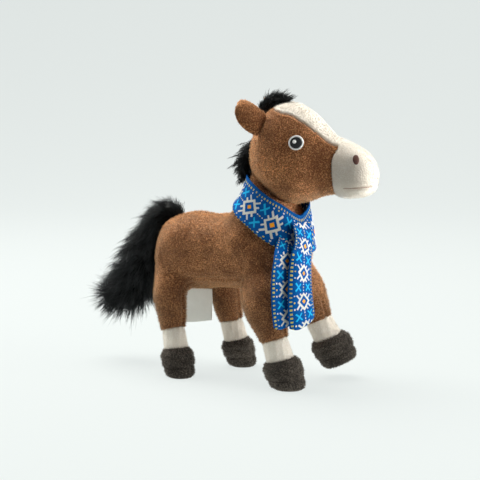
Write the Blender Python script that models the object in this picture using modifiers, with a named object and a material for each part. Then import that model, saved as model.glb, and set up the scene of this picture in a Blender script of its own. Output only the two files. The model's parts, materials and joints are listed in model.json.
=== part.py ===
"""A small sewn toy horse: a stuffed body, head and legs of short plush, with
long-haired mane, forelock and tail, embroidered eyes, and a woven ribbon
worn as a scarf.

The horse faces +X, its left side is +Y, and it stands on the plane z = 0.
Every length is in metres.
"""

import math

import bmesh
import bpy
import numpy as np
from mathutils import Matrix, Vector

MM = 0.001

# Clearances and cloth
GAP = 0.3 * MM
PLUSH_WALL = 2.0 * MM
STUFFING_GAP = 0.8 * MM
THREAD_THICKNESS = 0.7 * MM
RIBBON_THICKNESS = 0.9 * MM
EAR_LAYER = 1.0 * MM
CUT_OVERRUN = 60 * MM

# Trunk and neck
TRUNK_LENGTH = 118 * MM
TRUNK_DEPTH = 60 * MM
TRUNK_WIDTH = 68 * MM
BELLY_HEIGHT = 60 * MM
NECK_DEPTH = 42.6 * MM
NECK_WIDTH = 38 * MM
NECK_RISE = 21.8 * MM
GUSSET_HEIGHT = 14 * MM

# Head
HEAD_LENGTH = 92 * MM
HEAD_DEPTH = 71 * MM
HEAD_WIDTH = 56 * MM
JAW_DROP = 10.4 * MM
HEAD_YAW = 16
BLAZE_WIDTH = 34 * MM

# Face and ears
EYE_DIAMETER = 11.4 * MM
PUPIL_DIAMETER = 8.2 * MM
GLINT_DIAMETER = 3.4 * MM
NOSTRIL_HEIGHT = 6.4 * MM
NOSTRIL_WIDTH = 3.8 * MM
MOUTH_THREAD = 1.1 * MM
EAR_LENGTH = 20 * MM
EAR_WIDTH = 19.5 * MM
EAR_CUP = 3.4 * MM
EAR_HINGE_OFFSET = 2.0 * MM

# Long hair
FORELOCK_LENGTH = 27 * MM
FORELOCK_WIDTH = 17 * MM
FORELOCK_HEIGHT = 13 * MM
MANE_LENGTH = 31 * MM
MANE_WIDTH = 18 * MM
MANE_THICKNESS = 14 * MM
TAIL_LENGTH = 108 * MM
TAIL_DIAMETER = 40 * MM
TAIL_HINGE_OFFSET = 8.0 * MM

# Legs
FRONT_LEG_DIAMETER = 20.5 * MM
HIND_LEG_DIAMETER = 19 * MM
FRONT_HOOF_DIAMETER = 28 * MM
HIND_HOOF_DIAMETER = 24.5 * MM
HOOF_HEIGHT = 20.6 * MM
SOLE_HEIGHT = 7.6 * MM
SOCK_HEIGHT = 13.8 * MM
STANCE_WIDTH = 62 * MM
HOOF_LIFT = 11 * MM

# Scarf and label
RIBBON_WIDTH = 25 * MM
SCARF_STANDOFF = 0.8 * MM
SCARF_END_LENGTH = 71 * MM
SCARF_UNDER_LENGTH = 50 * MM
LABEL_WIDTH = 26 * MM
LABEL_LENGTH = 28 * MM
LABEL_THICKNESS = 0.5 * MM

BODY_AROUND = 20
BODY_ROWS = 23
HEAD_AROUND = 20
HEAD_ROWS = 16
MUZZLE_ROWS = 9
BED_ROWS = 26
EAR_ROWS = 10
EAR_COLUMNS = 7
FINE_AROUND = 160
FINE_ROWS = 40
LEG_AROUND = 12
SLEEVE_ROWS = 9
HAIR_ROWS = 8
HAIR_AROUND = 14
TAIL_ROWS = 14
TAIL_AROUND = 28
ROUND_SIDES = 20
SCARF_ROWS = 5
SCARF_COLUMNS = 32
END_ROWS = 13
END_COLUMNS = 4
SHARP_ANGLE = 40

# Trunk rings from the rump to the neck seam: place along the trunk, height over
# the belly, lean in degrees, half depth, half width, and how far into the neck.
TRUNK_SHARES = (
    (-0.540, 0.485, 0.0, 0.140, 0.130, 0.0),
    (-0.522, 0.480, 0.0, 0.330, 0.320, 0.0),
    (-0.462, 0.482, 0.0, 0.458, 0.445, 0.0),
    (-0.341, 0.518, 0.0, 0.489, 0.490, 0.0),
    (-0.195, 0.532, -5.8, 0.462, 0.478, 0.0),
    (-0.038, 0.556, -16.5, 0.466, 0.465, 0.0),
    (0.119, 0.593, -29.7, 0.520, 0.480, 0.0),
    (0.206, 0.650, -37.8, 0.591, 0.480, 0.0),
    (0.258, 0.737, -43.9, 0.631, 0.465, 0.15),
    (0.283, 0.821, -47.6, 0.669, 0.440, 0.40),
    (0.284, 0.896, -50.1, 0.727, 0.420, 0.70),
    (0.270, 1.000, -49.8, 0.727, 0.420, 1.00),
)
RUMP_END_SHARE = -0.549
NECK_OVERRUN_SHARE = 0.25
TRUNK_FULLNESS = 0.86

# Head rings from the poll to the nose: place along the head, height over the
# jaw line, half depth and half width.
HEAD_SHARES = (
    (-0.174, 0.465, 0.141, 0.196),
    (-0.129, 0.486, 0.275, 0.321),
    (-0.043, 0.504, 0.405, 0.437),
    (0.064, 0.502, 0.495, 0.491),
    (0.166, 0.494, 0.511, 0.500),
    (0.279, 0.468, 0.459, 0.470),
    (0.381, 0.434, 0.375, 0.407),
    (0.472, 0.388, 0.302, 0.345),
    (0.520, 0.352, 0.282, 0.327),
    (0.612, 0.305, 0.251, 0.329),
    (0.697, 0.279, 0.214, 0.309),
    (0.762, 0.258, 0.155, 0.246),
    (0.797, 0.238, 0.089, 0.152),
)
POLL_END_SHARE = -0.187
NOSE_END_SHARE = 0.813
HEAD_FULLNESS = 0.84
MUZZLE_SEAM_STATION = 7.5

# Half outline of the blaze, seen from above: place along the head and half width.
BLAZE_SHARES = (
    (0.010, 0.16),
    (0.047, 0.34),
    (0.115, 0.47),
    (0.260, 0.50),
    (0.417, 0.47),
    (0.620, 0.42),
)
BLAZE_FLOOR_SHARE = 0.43

EYE_SHARES = (0.262, 0.615)
GLINT_SHARES = (-0.008, 0.012)
NOSTRIL_SHARES = (0.692, 0.425)
NOSTRIL_LEAN = -12
MOUTH_SHARES = (0.60, 0.165)
EAR_STATION = 1.93
EAR_STATION_STEP = 0.2
EAR_ANGLE = 48
EAR_TURN = 32
EAR_LEAN_SHARE = 0.5
EAR_CUP_TURN = 135
EAR_OUTLINE_SHARES = (
    (0.0, 0.62),
    (0.20, 0.88),
    (0.45, 1.00),
    (0.68, 0.93),
    (0.85, 0.70),
    (0.95, 0.42),
    (1.0, 0.12),
)

# Leg rings of each band from its top to its bottom: height and radius.
LEG_TOP_SHARE = 0.46
THIGH_INWARD_SHARE = 1.0
TOE_SHARE = 0.111
FRONT_SLEEVE_SHARES = (
    (1.0, 1.25),
    (0.85, 1.50),
    (0.65, 1.55),
    (0.38, 1.40),
    (0.19, 1.20),
    (0.06, 1.05),
    (0.0, 1.0),
)
HIND_SLEEVE_SHARES = (
    (1.0, 1.25),
    (0.85, 1.48),
    (0.65, 1.50),
    (0.46, 1.38),
    (0.30, 1.27),
    (0.12, 1.12),
    (0.0, 1.0),
)
SOCK_SHARES = ((1.0, 0.92), (0.5, 0.93), (0.0, 0.99))
HOOF_SHARES = ((1.0, 0.80), (0.93, 0.90), (0.78, 0.985), (0.60, 1.0), (0.36, 0.975))
SOLE_SHARES = ((0.93, 0.955), (0.55, 0.93), (0.20, 0.84), (0.0, 0.74))

# Each leg: where its foot stands and where it meets the trunk, as shares of the
# trunk's length and of the stance.
LEG_SHARES = {
    "right_hind": ((-0.288, -0.50), (-0.384, -0.42)),
    "left_hind": ((-0.186, 0.50), (-0.275, 0.395)),
    "right_front": ((0.468, -0.32), (0.345, -0.40)),
    "left_front": ((0.520, 0.64), (0.345, 0.385)),
}

TAIL_PATH_SHARES = (
    (0.035, -0.030),
    (-0.025, 0.0),
    (-0.100, -0.070),
    (-0.185, -0.230),
    (-0.260, -0.370),
    (-0.335, -0.510),
    (-0.440, -0.630),
    (-0.620, -0.660),
)
TAIL_RADIUS_SHARES = (0.20, 0.40, 0.64, 0.88, 1.0, 1.0, 0.84, 0.32)
TAIL_SEAT_SHARE = 0.15
TAIL_WIDTH_SHARE = 0.9
HAIR_LOCKS = 7
TAIL_LOCK_DEPTH_SHARE = 0.10
HAIR_LOCK_DEPTH_SHARE = 0.06
LOCK_START_SHARE = 0.2
FORELOCK_STATION = 3
FORELOCK_PATH_SHARES = ((-0.60, -0.20), (-0.38, 0.02), (-0.14, 0.06), (0.10, 0.0))
FORELOCK_RADIUS_SHARES = (0.28, 0.44, 0.40, 0.20)
MANE_PATH_SHARES = ((0.10, 0.08), (-0.20, -0.22), (-0.37, -0.53), (-0.38, -0.82))
MANE_RADIUS_SHARES = (0.22, 0.48, 0.50, 0.22)

# Edges of the neck ribbon, as stations of the trunk: at the withers, behind the
# shoulder, at the side, before the shoulder and on the chest.
SCARF_EDGE_SHARES = (
    (7.80, 9.55),
    (7.75, 10.05),
    (8.70, 10.50),
    (9.15, 10.70),
    (9.10, 10.30),
)

# Middle line of each hanging scarf end, from its top: how far down, how much of
# the neck ribbon's bulge it has passed, forward and sideways in ribbon widths,
# and the way it faces in degrees.
FRONT_END_SHARES = (
    (0.0, 0.0, 0.02, -0.10, 4),
    (0.11, 0.62, 0.02, -0.16, 4),
    (0.21, 0.94, 0.02, -0.25, 3),
    (0.31, 1.0, 0.04, -0.37, 2),
    (0.55, 1.0, 0.15, -0.54, 0),
    (0.78, 1.0, 0.20, -0.58, 0),
    (1.0, 1.0, 0.22, -0.52, 0),
)
UNDER_END_SHARES = (
    (0.0, 0.0, 0.0, 0.0, -12),
    (0.30, 0.0, 0.04, -0.12, -15),
    (0.62, 0.0, 0.08, -0.14, -15),
    (1.0, 0.0, 0.12, -0.07, -13),
)
UNDER_END_PLACE_SHARES = (-0.08, -0.76)
BAND_STEP = 0.1
LABEL_SHARES = (-0.385, 0.14)

PLUSH_BROWN = (0.20, 0.092, 0.045)
PLUSH_CREAM = (0.62, 0.55, 0.44)
PLUSH_HOOF = (0.045, 0.036, 0.028)
HAIR_BLACK = (0.010, 0.012, 0.014)
FIBRE_WHITE = (0.85, 0.85, 0.82)
THREAD_WHITE = (0.80, 0.79, 0.75)
THREAD_BLACK = (0.012, 0.013, 0.016)
THREAD_BROWN = (0.16, 0.085, 0.06)
RIBBON_BLUE = (0.010, 0.075, 0.38)
SATIN_WHITE = (0.70, 0.70, 0.66)


def clear_scene():
    """Empty the scene."""
    for obj in list(bpy.data.objects):
        bpy.data.objects.remove(obj, do_unlink=True)


def new_collection(name, shown):
    """A collection of the scene."""
    collection = bpy.data.collections.new(name)
    bpy.context.scene.collection.children.link(collection)
    collection.hide_render = not shown
    return collection


def material(name, colour, roughness):
    """A plain cloth or thread material."""
    made = bpy.data.materials.new(name)
    made.use_nodes = True
    shader = made.node_tree.nodes["Principled BSDF"]
    shader.inputs["Base Color"].default_value = (*colour, 1.0)
    shader.inputs["Roughness"].default_value = roughness
    shader.inputs["Metallic"].default_value = 0.0
    made.diffuse_color = (*colour, 1.0)
    return made


def between(table, station):
    """Rows of the table read at fractional stations, on a smooth curve through them."""
    table = np.asarray(table, float)
    station = np.atleast_1d(np.asarray(station, float))
    last = len(table) - 1
    low = np.clip(np.floor(station).astype(int), 0, last - 1)
    t = (station - low)[:, None]
    before = table[np.clip(low - 1, 0, last)]
    start = table[low]
    end = table[low + 1]
    after = table[np.clip(low + 2, 0, last)]
    return 0.5 * (
        2 * start
        + (end - before) * t
        + (2 * before - 5 * start + 4 * end - after) * t**2
        + (3 * start - before - 3 * end + after) * t**3
    )


def oval(around, fullness):
    """The cosine and sine of a ring's angles, drawn out towards its corners."""
    angle = np.arange(around) * 2 * math.pi / around
    wave = np.array([np.cos(angle), np.sin(angle)])
    return np.sign(wave) * np.abs(wave) ** fullness


class Form:
    """A soft shape: a grid of rings, with a point that closes either end, or None."""

    def __init__(self, rings, start=None, end=None):
        self.rings = rings
        self.start = start
        self.end = end

    def normals(self):
        """Unit vectors pointing out of the shape at every point of the grid."""
        rows = [self.rings]
        if self.start is not None:
            rows.insert(0, np.broadcast_to(self.start, self.rings[:1].shape))
        if self.end is not None:
            rows.append(np.broadcast_to(self.end, self.rings[:1].shape))
        along = np.gradient(np.concatenate(rows), axis=0)
        first = 0 if self.start is None else 1
        along = along[first : first + len(self.rings)]
        across = np.roll(self.rings, -1, 1) - np.roll(self.rings, 1, 1)
        normal = np.cross(along, across)
        normal /= np.linalg.norm(normal, axis=2, keepdims=True)
        outward = self.rings - self.rings.mean(axis=1, keepdims=True)
        if (normal * outward).sum() < 0:
            normal = -normal
        return normal

    def grown(self, amount):
        """The same shape with its skin moved out by amount, or in where it is negative."""

        def moved(point, ring):
            if point is None:
                return None
            way = point - ring.mean(axis=0)
            return point + amount * way / np.linalg.norm(way)

        return Form(
            self.rings + amount * self.normals(),
            moved(self.start, self.rings[0]),
            moved(self.end, self.rings[-1]),
        )

    def mesh(self, name, flat_ends=False):
        """The shape as a mesh. flat_ends closes an open end with one flat face."""
        rows, around = self.rings.shape[:2]
        points = [tuple(p) for p in self.rings.reshape(-1, 3)]
        faces = []
        for row in range(rows - 1):
            for k in range(around):
                after = (k + 1) % around
                low = row * around
                high = low + around
                faces.append((low + k, low + after, high + after, high + k))
        ends = ((self.start, 0, True), (self.end, (rows - 1) * around, False))
        for pole, first, backwards in ends:
            ring = [first + k for k in range(around)]
            if backwards:
                ring.reverse()
            if pole is not None:
                points.append(tuple(pole))
                for k in range(around):
                    faces.append((ring[k], ring[(k + 1) % around], len(points) - 1))
            elif flat_ends:
                faces.append(tuple(ring))
        made = bpy.data.meshes.new(name)
        made.from_pydata(points, [], faces)
        outward = self.rings[0, 0] - self.rings[0].mean(axis=0)
        if np.dot(made.polygons[0].normal, outward) < 0:
            made.flip_normals()
        return made


class Workshop:
    """Puts meshes into the scene as parts or as cutters."""

    def __init__(self):
        self.parts = new_collection("plush_horse", True)
        self.cutters = new_collection("cutters", False)
        self.ground = self.joint("plush_horse_frame", (0, 0, 0))

    def joint(self, name, place, yaw=0.0, parent=None):
        """An empty on a joint's axis, which the pieces that move with it hang from."""
        empty = bpy.data.objects.new(name, None)
        empty.empty_display_size = GUSSET_HEIGHT
        empty.location = place
        empty.rotation_euler = (0, 0, math.radians(yaw))
        empty.parent = parent
        self.parts.objects.link(empty)
        bpy.context.view_layer.update()
        return empty

    def part(self, name, mesh, finish, parent=None):
        """One node of the model."""
        obj = bpy.data.objects.new(name, mesh)
        own = finish.copy()
        own.name = name
        mesh.materials.append(own)
        mesh.shade_smooth()
        mesh.set_sharp_from_angle(angle=math.radians(SHARP_ANGLE))
        obj.parent = parent or self.ground
        self.parts.objects.link(obj)
        return obj

    def cutter(self, name, mesh, parent=None):
        """A helper that only cuts."""
        obj = bpy.data.objects.new(name, mesh)
        obj.hide_render = True
        obj.display_type = "WIRE"
        obj.parent = parent or self.ground
        self.cutters.objects.link(obj)
        return obj


def thicken(obj, wall, inward=True):
    """Give an open surface its wall."""
    solid = obj.modifiers.new("wall", "SOLIDIFY")
    solid.thickness = wall
    solid.offset = -1.0 if inward else 1.0
    solid.use_even_offset = True
    solid.use_quality_normals = True
    return obj


def in_triangles(made):
    """The same mesh with every face a flat triangle, so that a cut across it is clean."""
    faces = bmesh.new()
    faces.from_mesh(made)
    bmesh.ops.triangulate(faces, faces=faces.faces)
    faces.to_mesh(made)
    faces.free()
    return made


def carve(obj, cutter, operation="DIFFERENCE"):
    """Cut obj by the cutter, or keep what lies inside it."""
    cut = obj.modifiers.new(cutter.name, "BOOLEAN")
    cut.operation = operation
    cut.solver = "EXACT"
    cut.object = cutter
    return obj


def block_mesh(name, low, high, turn=None):
    """A box from its low corner to its high corner, then turned by a matrix."""
    made = bpy.data.meshes.new(name)
    box = bmesh.new()
    bmesh.ops.create_cube(box, size=1.0)
    low = Vector(low)
    high = Vector(high)
    bmesh.ops.scale(box, vec=high - low, verts=box.verts)
    bmesh.ops.translate(box, vec=(low + high) / 2, verts=box.verts)
    if turn is not None:
        bmesh.ops.transform(box, matrix=turn, verts=box.verts)
    box.to_mesh(made)
    box.free()
    return made


def rod_mesh(name, across, along, reach, place, lean=0.0):
    """An oval rod along Y: across and along are its widths in X and Z."""
    made = bpy.data.meshes.new(name)
    rod = bmesh.new()
    bmesh.ops.create_cone(
        rod,
        cap_ends=True,
        segments=ROUND_SIDES,
        radius1=0.5,
        radius2=0.5,
        depth=1.0,
    )
    turn = (
        Matrix.Translation(place)
        @ Matrix.Rotation(math.radians(lean), 4, "Y")
        @ Matrix.Diagonal((across, reach, along, 1.0))
        @ Matrix.Rotation(math.radians(90), 4, "X")
    )
    bmesh.ops.transform(rod, matrix=turn, verts=rod.verts)
    rod.to_mesh(made)
    rod.free()
    return made


def prism_mesh(name, outline, low, high):
    """An upright prism over an outline in X and Y."""
    made = bpy.data.meshes.new(name)
    prism = bmesh.new()
    base = [prism.verts.new((x, y, low)) for x, y in outline]
    face = prism.faces.new(base)
    lifted = bmesh.ops.extrude_face_region(prism, geom=[face])
    top = [v for v in lifted["geom"] if isinstance(v, bmesh.types.BMVert)]
    bmesh.ops.translate(prism, vec=(0, 0, high - low), verts=top)
    bmesh.ops.recalc_face_normals(prism, faces=prism.faces)
    prism.to_mesh(made)
    prism.free()
    return made


def sheet_mesh(name, grid):
    """An open sheet through a grid of points."""
    rows, columns = grid.shape[:2]
    faces = []
    for row in range(rows - 1):
        for k in range(columns - 1):
            low = row * columns + k
            faces.append((low, low + 1, low + columns + 1, low + columns))
    made = bpy.data.meshes.new(name)
    made.from_pydata([tuple(p) for p in grid.reshape(-1, 3)], [], faces)
    return made


def sheet_normals(grid, facing):
    """Unit normals of an open sheet, on the side that facing points to."""
    normal = np.cross(np.gradient(grid, axis=0), np.gradient(grid, axis=1))
    normal /= np.linalg.norm(normal, axis=2, keepdims=True)
    return normal if (normal @ facing).sum() > 0 else -normal


def trunk_rings(station):
    """Centre, half depth and half width vectors of the trunk at the stations."""
    place, height, lean, depth, width, neck = between(TRUNK_SHARES, station).T
    neck = np.clip(neck, 0, 1)
    lean = np.radians(lean)
    flat = np.zeros_like(place)
    centre = np.stack(
        [
            place * TRUNK_LENGTH,
            flat,
            BELLY_HEIGHT + height * TRUNK_DEPTH + neck * NECK_RISE,
        ],
        axis=1,
    )
    half_depth = (1 - neck) * depth * TRUNK_DEPTH + neck * NECK_DEPTH / 2
    half_width = (1 - neck) * width * TRUNK_WIDTH + neck * NECK_WIDTH / 2
    up = np.stack([np.sin(lean), flat, np.cos(lean)], axis=1) * half_depth[:, None]
    side = np.stack([flat, half_width, flat], axis=1)
    return centre, up, side


def trunk_grid(station, around=BODY_AROUND):
    """Points of the trunk's skin, ring by ring, starting on the back."""
    centre, up, side = trunk_rings(station)
    cosine, sine = oval(around, TRUNK_FULLNESS)
    return (
        centre[:, None]
        + up[:, None] * cosine[None, :, None]
        + side[:, None] * sine[None, :, None]
    )


def trunk_form(rows=BODY_ROWS, around=BODY_AROUND):
    """The trunk and neck, closed at the rump and running open past the neck seam."""
    rump = trunk_rings([0.0])[0][0].copy()
    rump[0] = RUMP_END_SHARE * TRUNK_LENGTH
    last = len(TRUNK_SHARES) - 1 + NECK_OVERRUN_SHARE
    return Form(trunk_grid(np.linspace(0, last, rows), around), start=rump)


def neck_seam():
    """Middle of the seam between neck and head, and the seam's upward normal."""
    centre, up, _ = trunk_rings([len(TRUNK_SHARES) - 1])
    normal = np.array([up[0, 2], 0.0, -up[0, 0]])
    return centre[0], normal / np.linalg.norm(normal)


def seam_turn():
    """Turns the Z axis to the neck seam's normal, and moves the origin to its middle."""
    middle, normal = neck_seam()
    turn = Vector((0, 0, 1)).rotation_difference(Vector(normal)).to_matrix().to_4x4()
    return Matrix.Translation(middle) @ turn


def head_rings(station, around=HEAD_AROUND):
    """Points of the head's skin in the head's own frame, whose origin is the seam."""
    place, height, depth, width = between(HEAD_SHARES, station).T
    flat = np.zeros_like(place)
    centre = np.stack(
        [place * HEAD_LENGTH, flat, height * HEAD_DEPTH - JAW_DROP], axis=1
    )
    cosine, sine = oval(around, HEAD_FULLNESS)
    rings = np.repeat(centre[:, None], around, axis=1)
    rings[:, :, 2] += (depth * HEAD_DEPTH)[:, None] * cosine
    rings[:, :, 1] += (width * HEAD_WIDTH)[:, None] * sine
    return rings


def head_end(share, station):
    """The point that closes the head at the poll or at the nose."""
    middle = head_rings([station]).mean(axis=1)[0]
    middle[0] = share * HEAD_LENGTH
    return middle


def head_form(first, last, rows):
    """The head's skin between two stations, closed where it reaches an end."""
    end = len(HEAD_SHARES) - 1
    return Form(
        head_rings(np.linspace(first, last, rows)),
        head_end(POLL_END_SHARE, 0) if first == 0 else None,
        head_end(NOSE_END_SHARE, end) if last == end else None,
    )


def build_trunk(shop, finish):
    """The two side panels, the belly gusset and the filling of the trunk."""
    reach = TRUNK_LENGTH + CUT_OVERRUN
    seam = BELLY_HEIGHT + GUSSET_HEIGHT
    neck = shop.cutter(
        "above_neck_seam",
        block_mesh(
            "above_neck_seam", (-reach, -reach, -GAP / 2), (reach, reach, reach), seam_turn()
        ),
    )
    left = shop.cutter(
        "left_of_middle",
        block_mesh("left_of_middle", (-reach, -GAP / 2, -reach), (reach, reach, reach)),
    )
    right = shop.cutter(
        "right_of_middle",
        block_mesh("right_of_middle", (-reach, -reach, -reach), (reach, GAP / 2, reach)),
    )
    below = shop.cutter(
        "below_gusset_seam",
        block_mesh("below_gusset_seam", (-reach, -reach, -reach), (reach, reach, seam)),
    )
    above = shop.cutter(
        "above_gusset_seam",
        block_mesh(
            "above_gusset_seam", (-reach, -reach, seam - GAP), (reach, reach, reach)
        ),
    )
    skin = trunk_form()
    for name, cuts in (
        ("body_side_panel_right", (left, below, neck)),
        ("body_side_panel_left", (right, below, neck)),
        ("belly_gusset", (above,)),
    ):
        panel = shop.part(name, skin.mesh(name), finish["brown"])
        thicken(panel, PLUSH_WALL)
        for cutter in cuts:
            carve(panel, cutter)
    filling = skin.grown(-PLUSH_WALL - STUFFING_GAP)
    stuffing = shop.part(
        "body_stuffing", filling.mesh("body_stuffing", True), finish["fibre"]
    )
    carve(stuffing, neck)


def blaze_outline(margin):
    """The blaze's outline seen from above, moved out by margin."""
    half = [
        (x * HEAD_LENGTH - (margin if k == 0 else 0), w * BLAZE_WIDTH + margin)
        for k, (x, w) in enumerate(BLAZE_SHARES)
    ]
    return half + [(x, -y) for x, y in reversed(half)]


def build_head(shop, head, finish):
    """The head's skin in panels, its muzzle and its filling."""
    end = len(HEAD_SHARES) - 1
    low = int(MUZZLE_SEAM_STATION)
    seam_step = GAP / 2 / (HEAD_LENGTH * (HEAD_SHARES[low + 1][0] - HEAD_SHARES[low][0]))
    reach = HEAD_LENGTH + CUT_OVERRUN
    below = shop.cutter(
        "below_neck_seam",
        block_mesh(
            "below_neck_seam",
            (-reach, -reach, -reach),
            (reach, reach, GAP / 2),
            seam_turn(),
        ),
    )
    left = shop.cutter(
        "left_of_face",
        block_mesh("left_of_face", (-reach, -GAP / 2, -reach), (reach, reach, reach)),
        head,
    )
    right = shop.cutter(
        "right_of_face",
        block_mesh("right_of_face", (-reach, -reach, -reach), (reach, GAP / 2, reach)),
        head,
    )
    floor = BLAZE_FLOOR_SHARE * HEAD_DEPTH
    strip = shop.cutter(
        "blaze_strip",
        prism_mesh("blaze_strip", blaze_outline(0), floor, reach),
        head,
    )
    slot = shop.cutter(
        "blaze_slot",
        prism_mesh("blaze_slot", blaze_outline(GAP), floor, reach),
        head,
    )
    skin = head_form(0, MUZZLE_SEAM_STATION - seam_step, HEAD_ROWS)
    for name, other in (("head_side_right", left), ("head_side_left", right)):
        panel = shop.part(name, skin.mesh(name), finish["brown"], head)
        thicken(panel, PLUSH_WALL)
        carve(panel, below)
        carve(panel, other)
        carve(panel, slot)
    blaze = shop.part("blaze_panel", skin.mesh("blaze_panel"), finish["cream"], head)
    thicken(blaze, PLUSH_WALL)
    carve(blaze, strip, "INTERSECT")
    muzzle = head_form(MUZZLE_SEAM_STATION + seam_step, end, MUZZLE_ROWS)
    thicken(
        shop.part("muzzle", muzzle.mesh("muzzle"), finish["cream"], head), PLUSH_WALL
    )
    filling = head_form(0, end, HEAD_ROWS).grown(-PLUSH_WALL - STUFFING_GAP)
    stuffing = shop.part(
        "head_stuffing", filling.mesh("head_stuffing"), finish["fibre"], head
    )
    carve(stuffing, below)


def build_face(shop, head, finish):
    """Embroidered eyes, nostrils and mouth, each lying on the plush."""
    end = len(HEAD_SHARES) - 1
    skin = head_form(0, end, BED_ROWS)
    inner = shop.cutter("face_bed", in_triangles(skin.grown(GAP).mesh("face_bed")), head)
    reach = HEAD_WIDTH
    eye_x, eye_z = (
        EYE_SHARES[0] * HEAD_LENGTH,
        EYE_SHARES[1] * HEAD_DEPTH - JAW_DROP,
    )
    glint_x = eye_x + GLINT_SHARES[0] * HEAD_LENGTH
    glint_z = eye_z + GLINT_SHARES[1] * HEAD_DEPTH
    nostril_x = NOSTRIL_SHARES[0] * HEAD_LENGTH
    nostril_z = NOSTRIL_SHARES[1] * HEAD_DEPTH - JAW_DROP
    clear = 2 * GAP

    def threads(name, colour, place, wide, tall, hole=None, lean=0.0):
        thread = in_triangles(skin.grown(GAP + THREAD_THICKNESS).mesh(name))
        patch = shop.part(name, thread, finish[colour], head)
        keep = rod_mesh(name + "_edge", wide, tall, reach, place, lean)
        carve(patch, shop.cutter(name + "_edge", keep, head), "INTERSECT")
        carve(patch, inner)
        if hole:
            hole_place, hole_wide = hole
            gap = rod_mesh(
                name + "_hole", hole_wide, hole_wide, reach + clear, hole_place
            )
            carve(patch, shop.cutter(name + "_hole", gap, head))

    for name, side in (("right", -1), ("left", 1)):
        eye = Vector((eye_x, side * reach / 2, eye_z))
        glint = Vector((glint_x, side * reach / 2, glint_z))
        nostril = Vector((nostril_x, side * reach / 2, nostril_z))
        threads(
            f"eye_ring_{name}",
            "white",
            eye,
            EYE_DIAMETER,
            EYE_DIAMETER,
            (eye, PUPIL_DIAMETER + clear),
        )
        threads(
            f"eye_pupil_{name}",
            "black",
            eye,
            PUPIL_DIAMETER,
            PUPIL_DIAMETER,
            (glint, GLINT_DIAMETER + clear),
        )
        threads(f"eye_glint_{name}", "white", glint, GLINT_DIAMETER, GLINT_DIAMETER)
        threads(
            f"nostril_{name}",
            "dark_brown",
            nostril,
            NOSTRIL_WIDTH,
            NOSTRIL_HEIGHT,
            lean=NOSTRIL_LEAN,
        )
    mouth = shop.part(
        "mouth_stitch",
        in_triangles(skin.grown(GAP + THREAD_THICKNESS).mesh("mouth_stitch")),
        finish["dark_brown"],
        head,
    )
    mouth_z = MOUTH_SHARES[1] * HEAD_DEPTH - JAW_DROP
    band = shop.cutter(
        "mouth_band",
        block_mesh(
            "mouth_band",
            (MOUTH_SHARES[0] * HEAD_LENGTH, -reach, mouth_z - MOUTH_THREAD / 2),
            (HEAD_LENGTH, reach, mouth_z + MOUTH_THREAD / 2),
        ),
        head,
    )
    carve(mouth, band, "INTERSECT")
    carve(mouth, inner)


def ear_frame(side):
    """Place of an ear's hinge, and its length, width and facing directions."""
    step = EAR_STATION_STEP
    ring = head_rings([EAR_STATION - step, EAR_STATION, EAR_STATION + step], FINE_AROUND)
    turn = int(round(side * EAR_ANGLE / 360 * FINE_AROUND)) % FINE_AROUND
    place = ring[1, turn]
    along = ring[2, turn] - ring[0, turn]
    across = ring[1, (turn + 2) % FINE_AROUND] - ring[1, turn - 2]
    normal = np.cross(along, across)
    normal /= np.linalg.norm(normal)
    if normal @ (place - ring[1].mean(axis=0)) < 0:
        normal = -normal
    along -= (along @ normal) * normal
    along /= np.linalg.norm(along)
    inward = np.cross(along, normal)
    if side * (inward @ across) > 0:
        inward = -inward
    twist = math.radians(EAR_TURN)
    width = math.cos(twist) * inward + math.sin(twist) * along
    facing = side * np.cross(width, normal)
    return place + EAR_HINGE_OFFSET * normal, normal, width, facing


def build_ear(shop, head, name, side, finish):
    """One ear: a cupped leaf of two layers on a hinge along its sewn edge."""
    place, outward, width, facing = ear_frame(side)
    hinge = shop.joint(f"ear_{name}_joint", place, parent=head)
    stations = np.linspace(0, len(EAR_OUTLINE_SHARES) - 1, EAR_ROWS)
    outline = between(EAR_OUTLINE_SHARES, stations)
    seat = EAR_HINGE_OFFSET - GAP
    length = outline[:, 0] * (EAR_LENGTH + seat) - seat
    half = outline[:, 1] * EAR_WIDTH / 2
    across = np.linspace(-1, 1, EAR_COLUMNS)
    cup = EAR_CUP * np.sin(np.clip(outline[:, 0], 0, 1) * math.radians(EAR_CUP_TURN))
    leaf = (
        length[:, None, None] * (outward + EAR_LEAN_SHARE * width)
        + (half[:, None] * across)[:, :, None] * width
        + (cup[:, None] * across**2)[:, :, None] * facing
    )
    normal = sheet_normals(leaf, facing)
    for layer, offset in (("back", -0.5), ("lining", 0.5)):
        grid = leaf + offset * (EAR_LAYER + GAP) * normal
        ear = shop.part(
            f"ear_{name}_{layer}",
            sheet_mesh(f"ear_{name}_{layer}", grid),
            finish["brown"],
            hinge,
        )
        thicken(ear, EAR_LAYER)
        ear.modifiers["wall"].offset = 0.0
        ear.modifiers["wall"].use_even_offset = False
    return hinge


def hair_form(path, radii, width_scale, rows, around, locks=0, lock_depth=0.0):
    """A tapered mass of long hair along a path in the XZ plane."""
    stations = np.linspace(0, len(path) - 1, rows)
    middle = between(path, stations)
    radius = between(np.asarray(radii)[:, None], stations)[:, 0]
    along = np.gradient(middle, axis=0)
    along /= np.linalg.norm(along, axis=1, keepdims=True)
    up = np.stack([-along[:, 2], np.zeros(rows), along[:, 0]], axis=1)
    angle = np.arange(around) * 2 * math.pi / around
    fade = np.linspace(LOCK_START_SHARE, 1, rows)[:, None]
    wave = 1 + lock_depth * fade * np.cos(locks * angle)[None]
    rings = middle[:, None] + (radius[:, None] * wave * np.cos(angle))[:, :, None] * up[
        :, None
    ]
    rings[:, :, 1] += radius[:, None] * wave * np.sin(angle) * width_scale
    return Form(
        rings,
        middle[0] - along[0] * radius[0] / 2,
        middle[-1] + along[-1] * radius[-1],
    )


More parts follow.
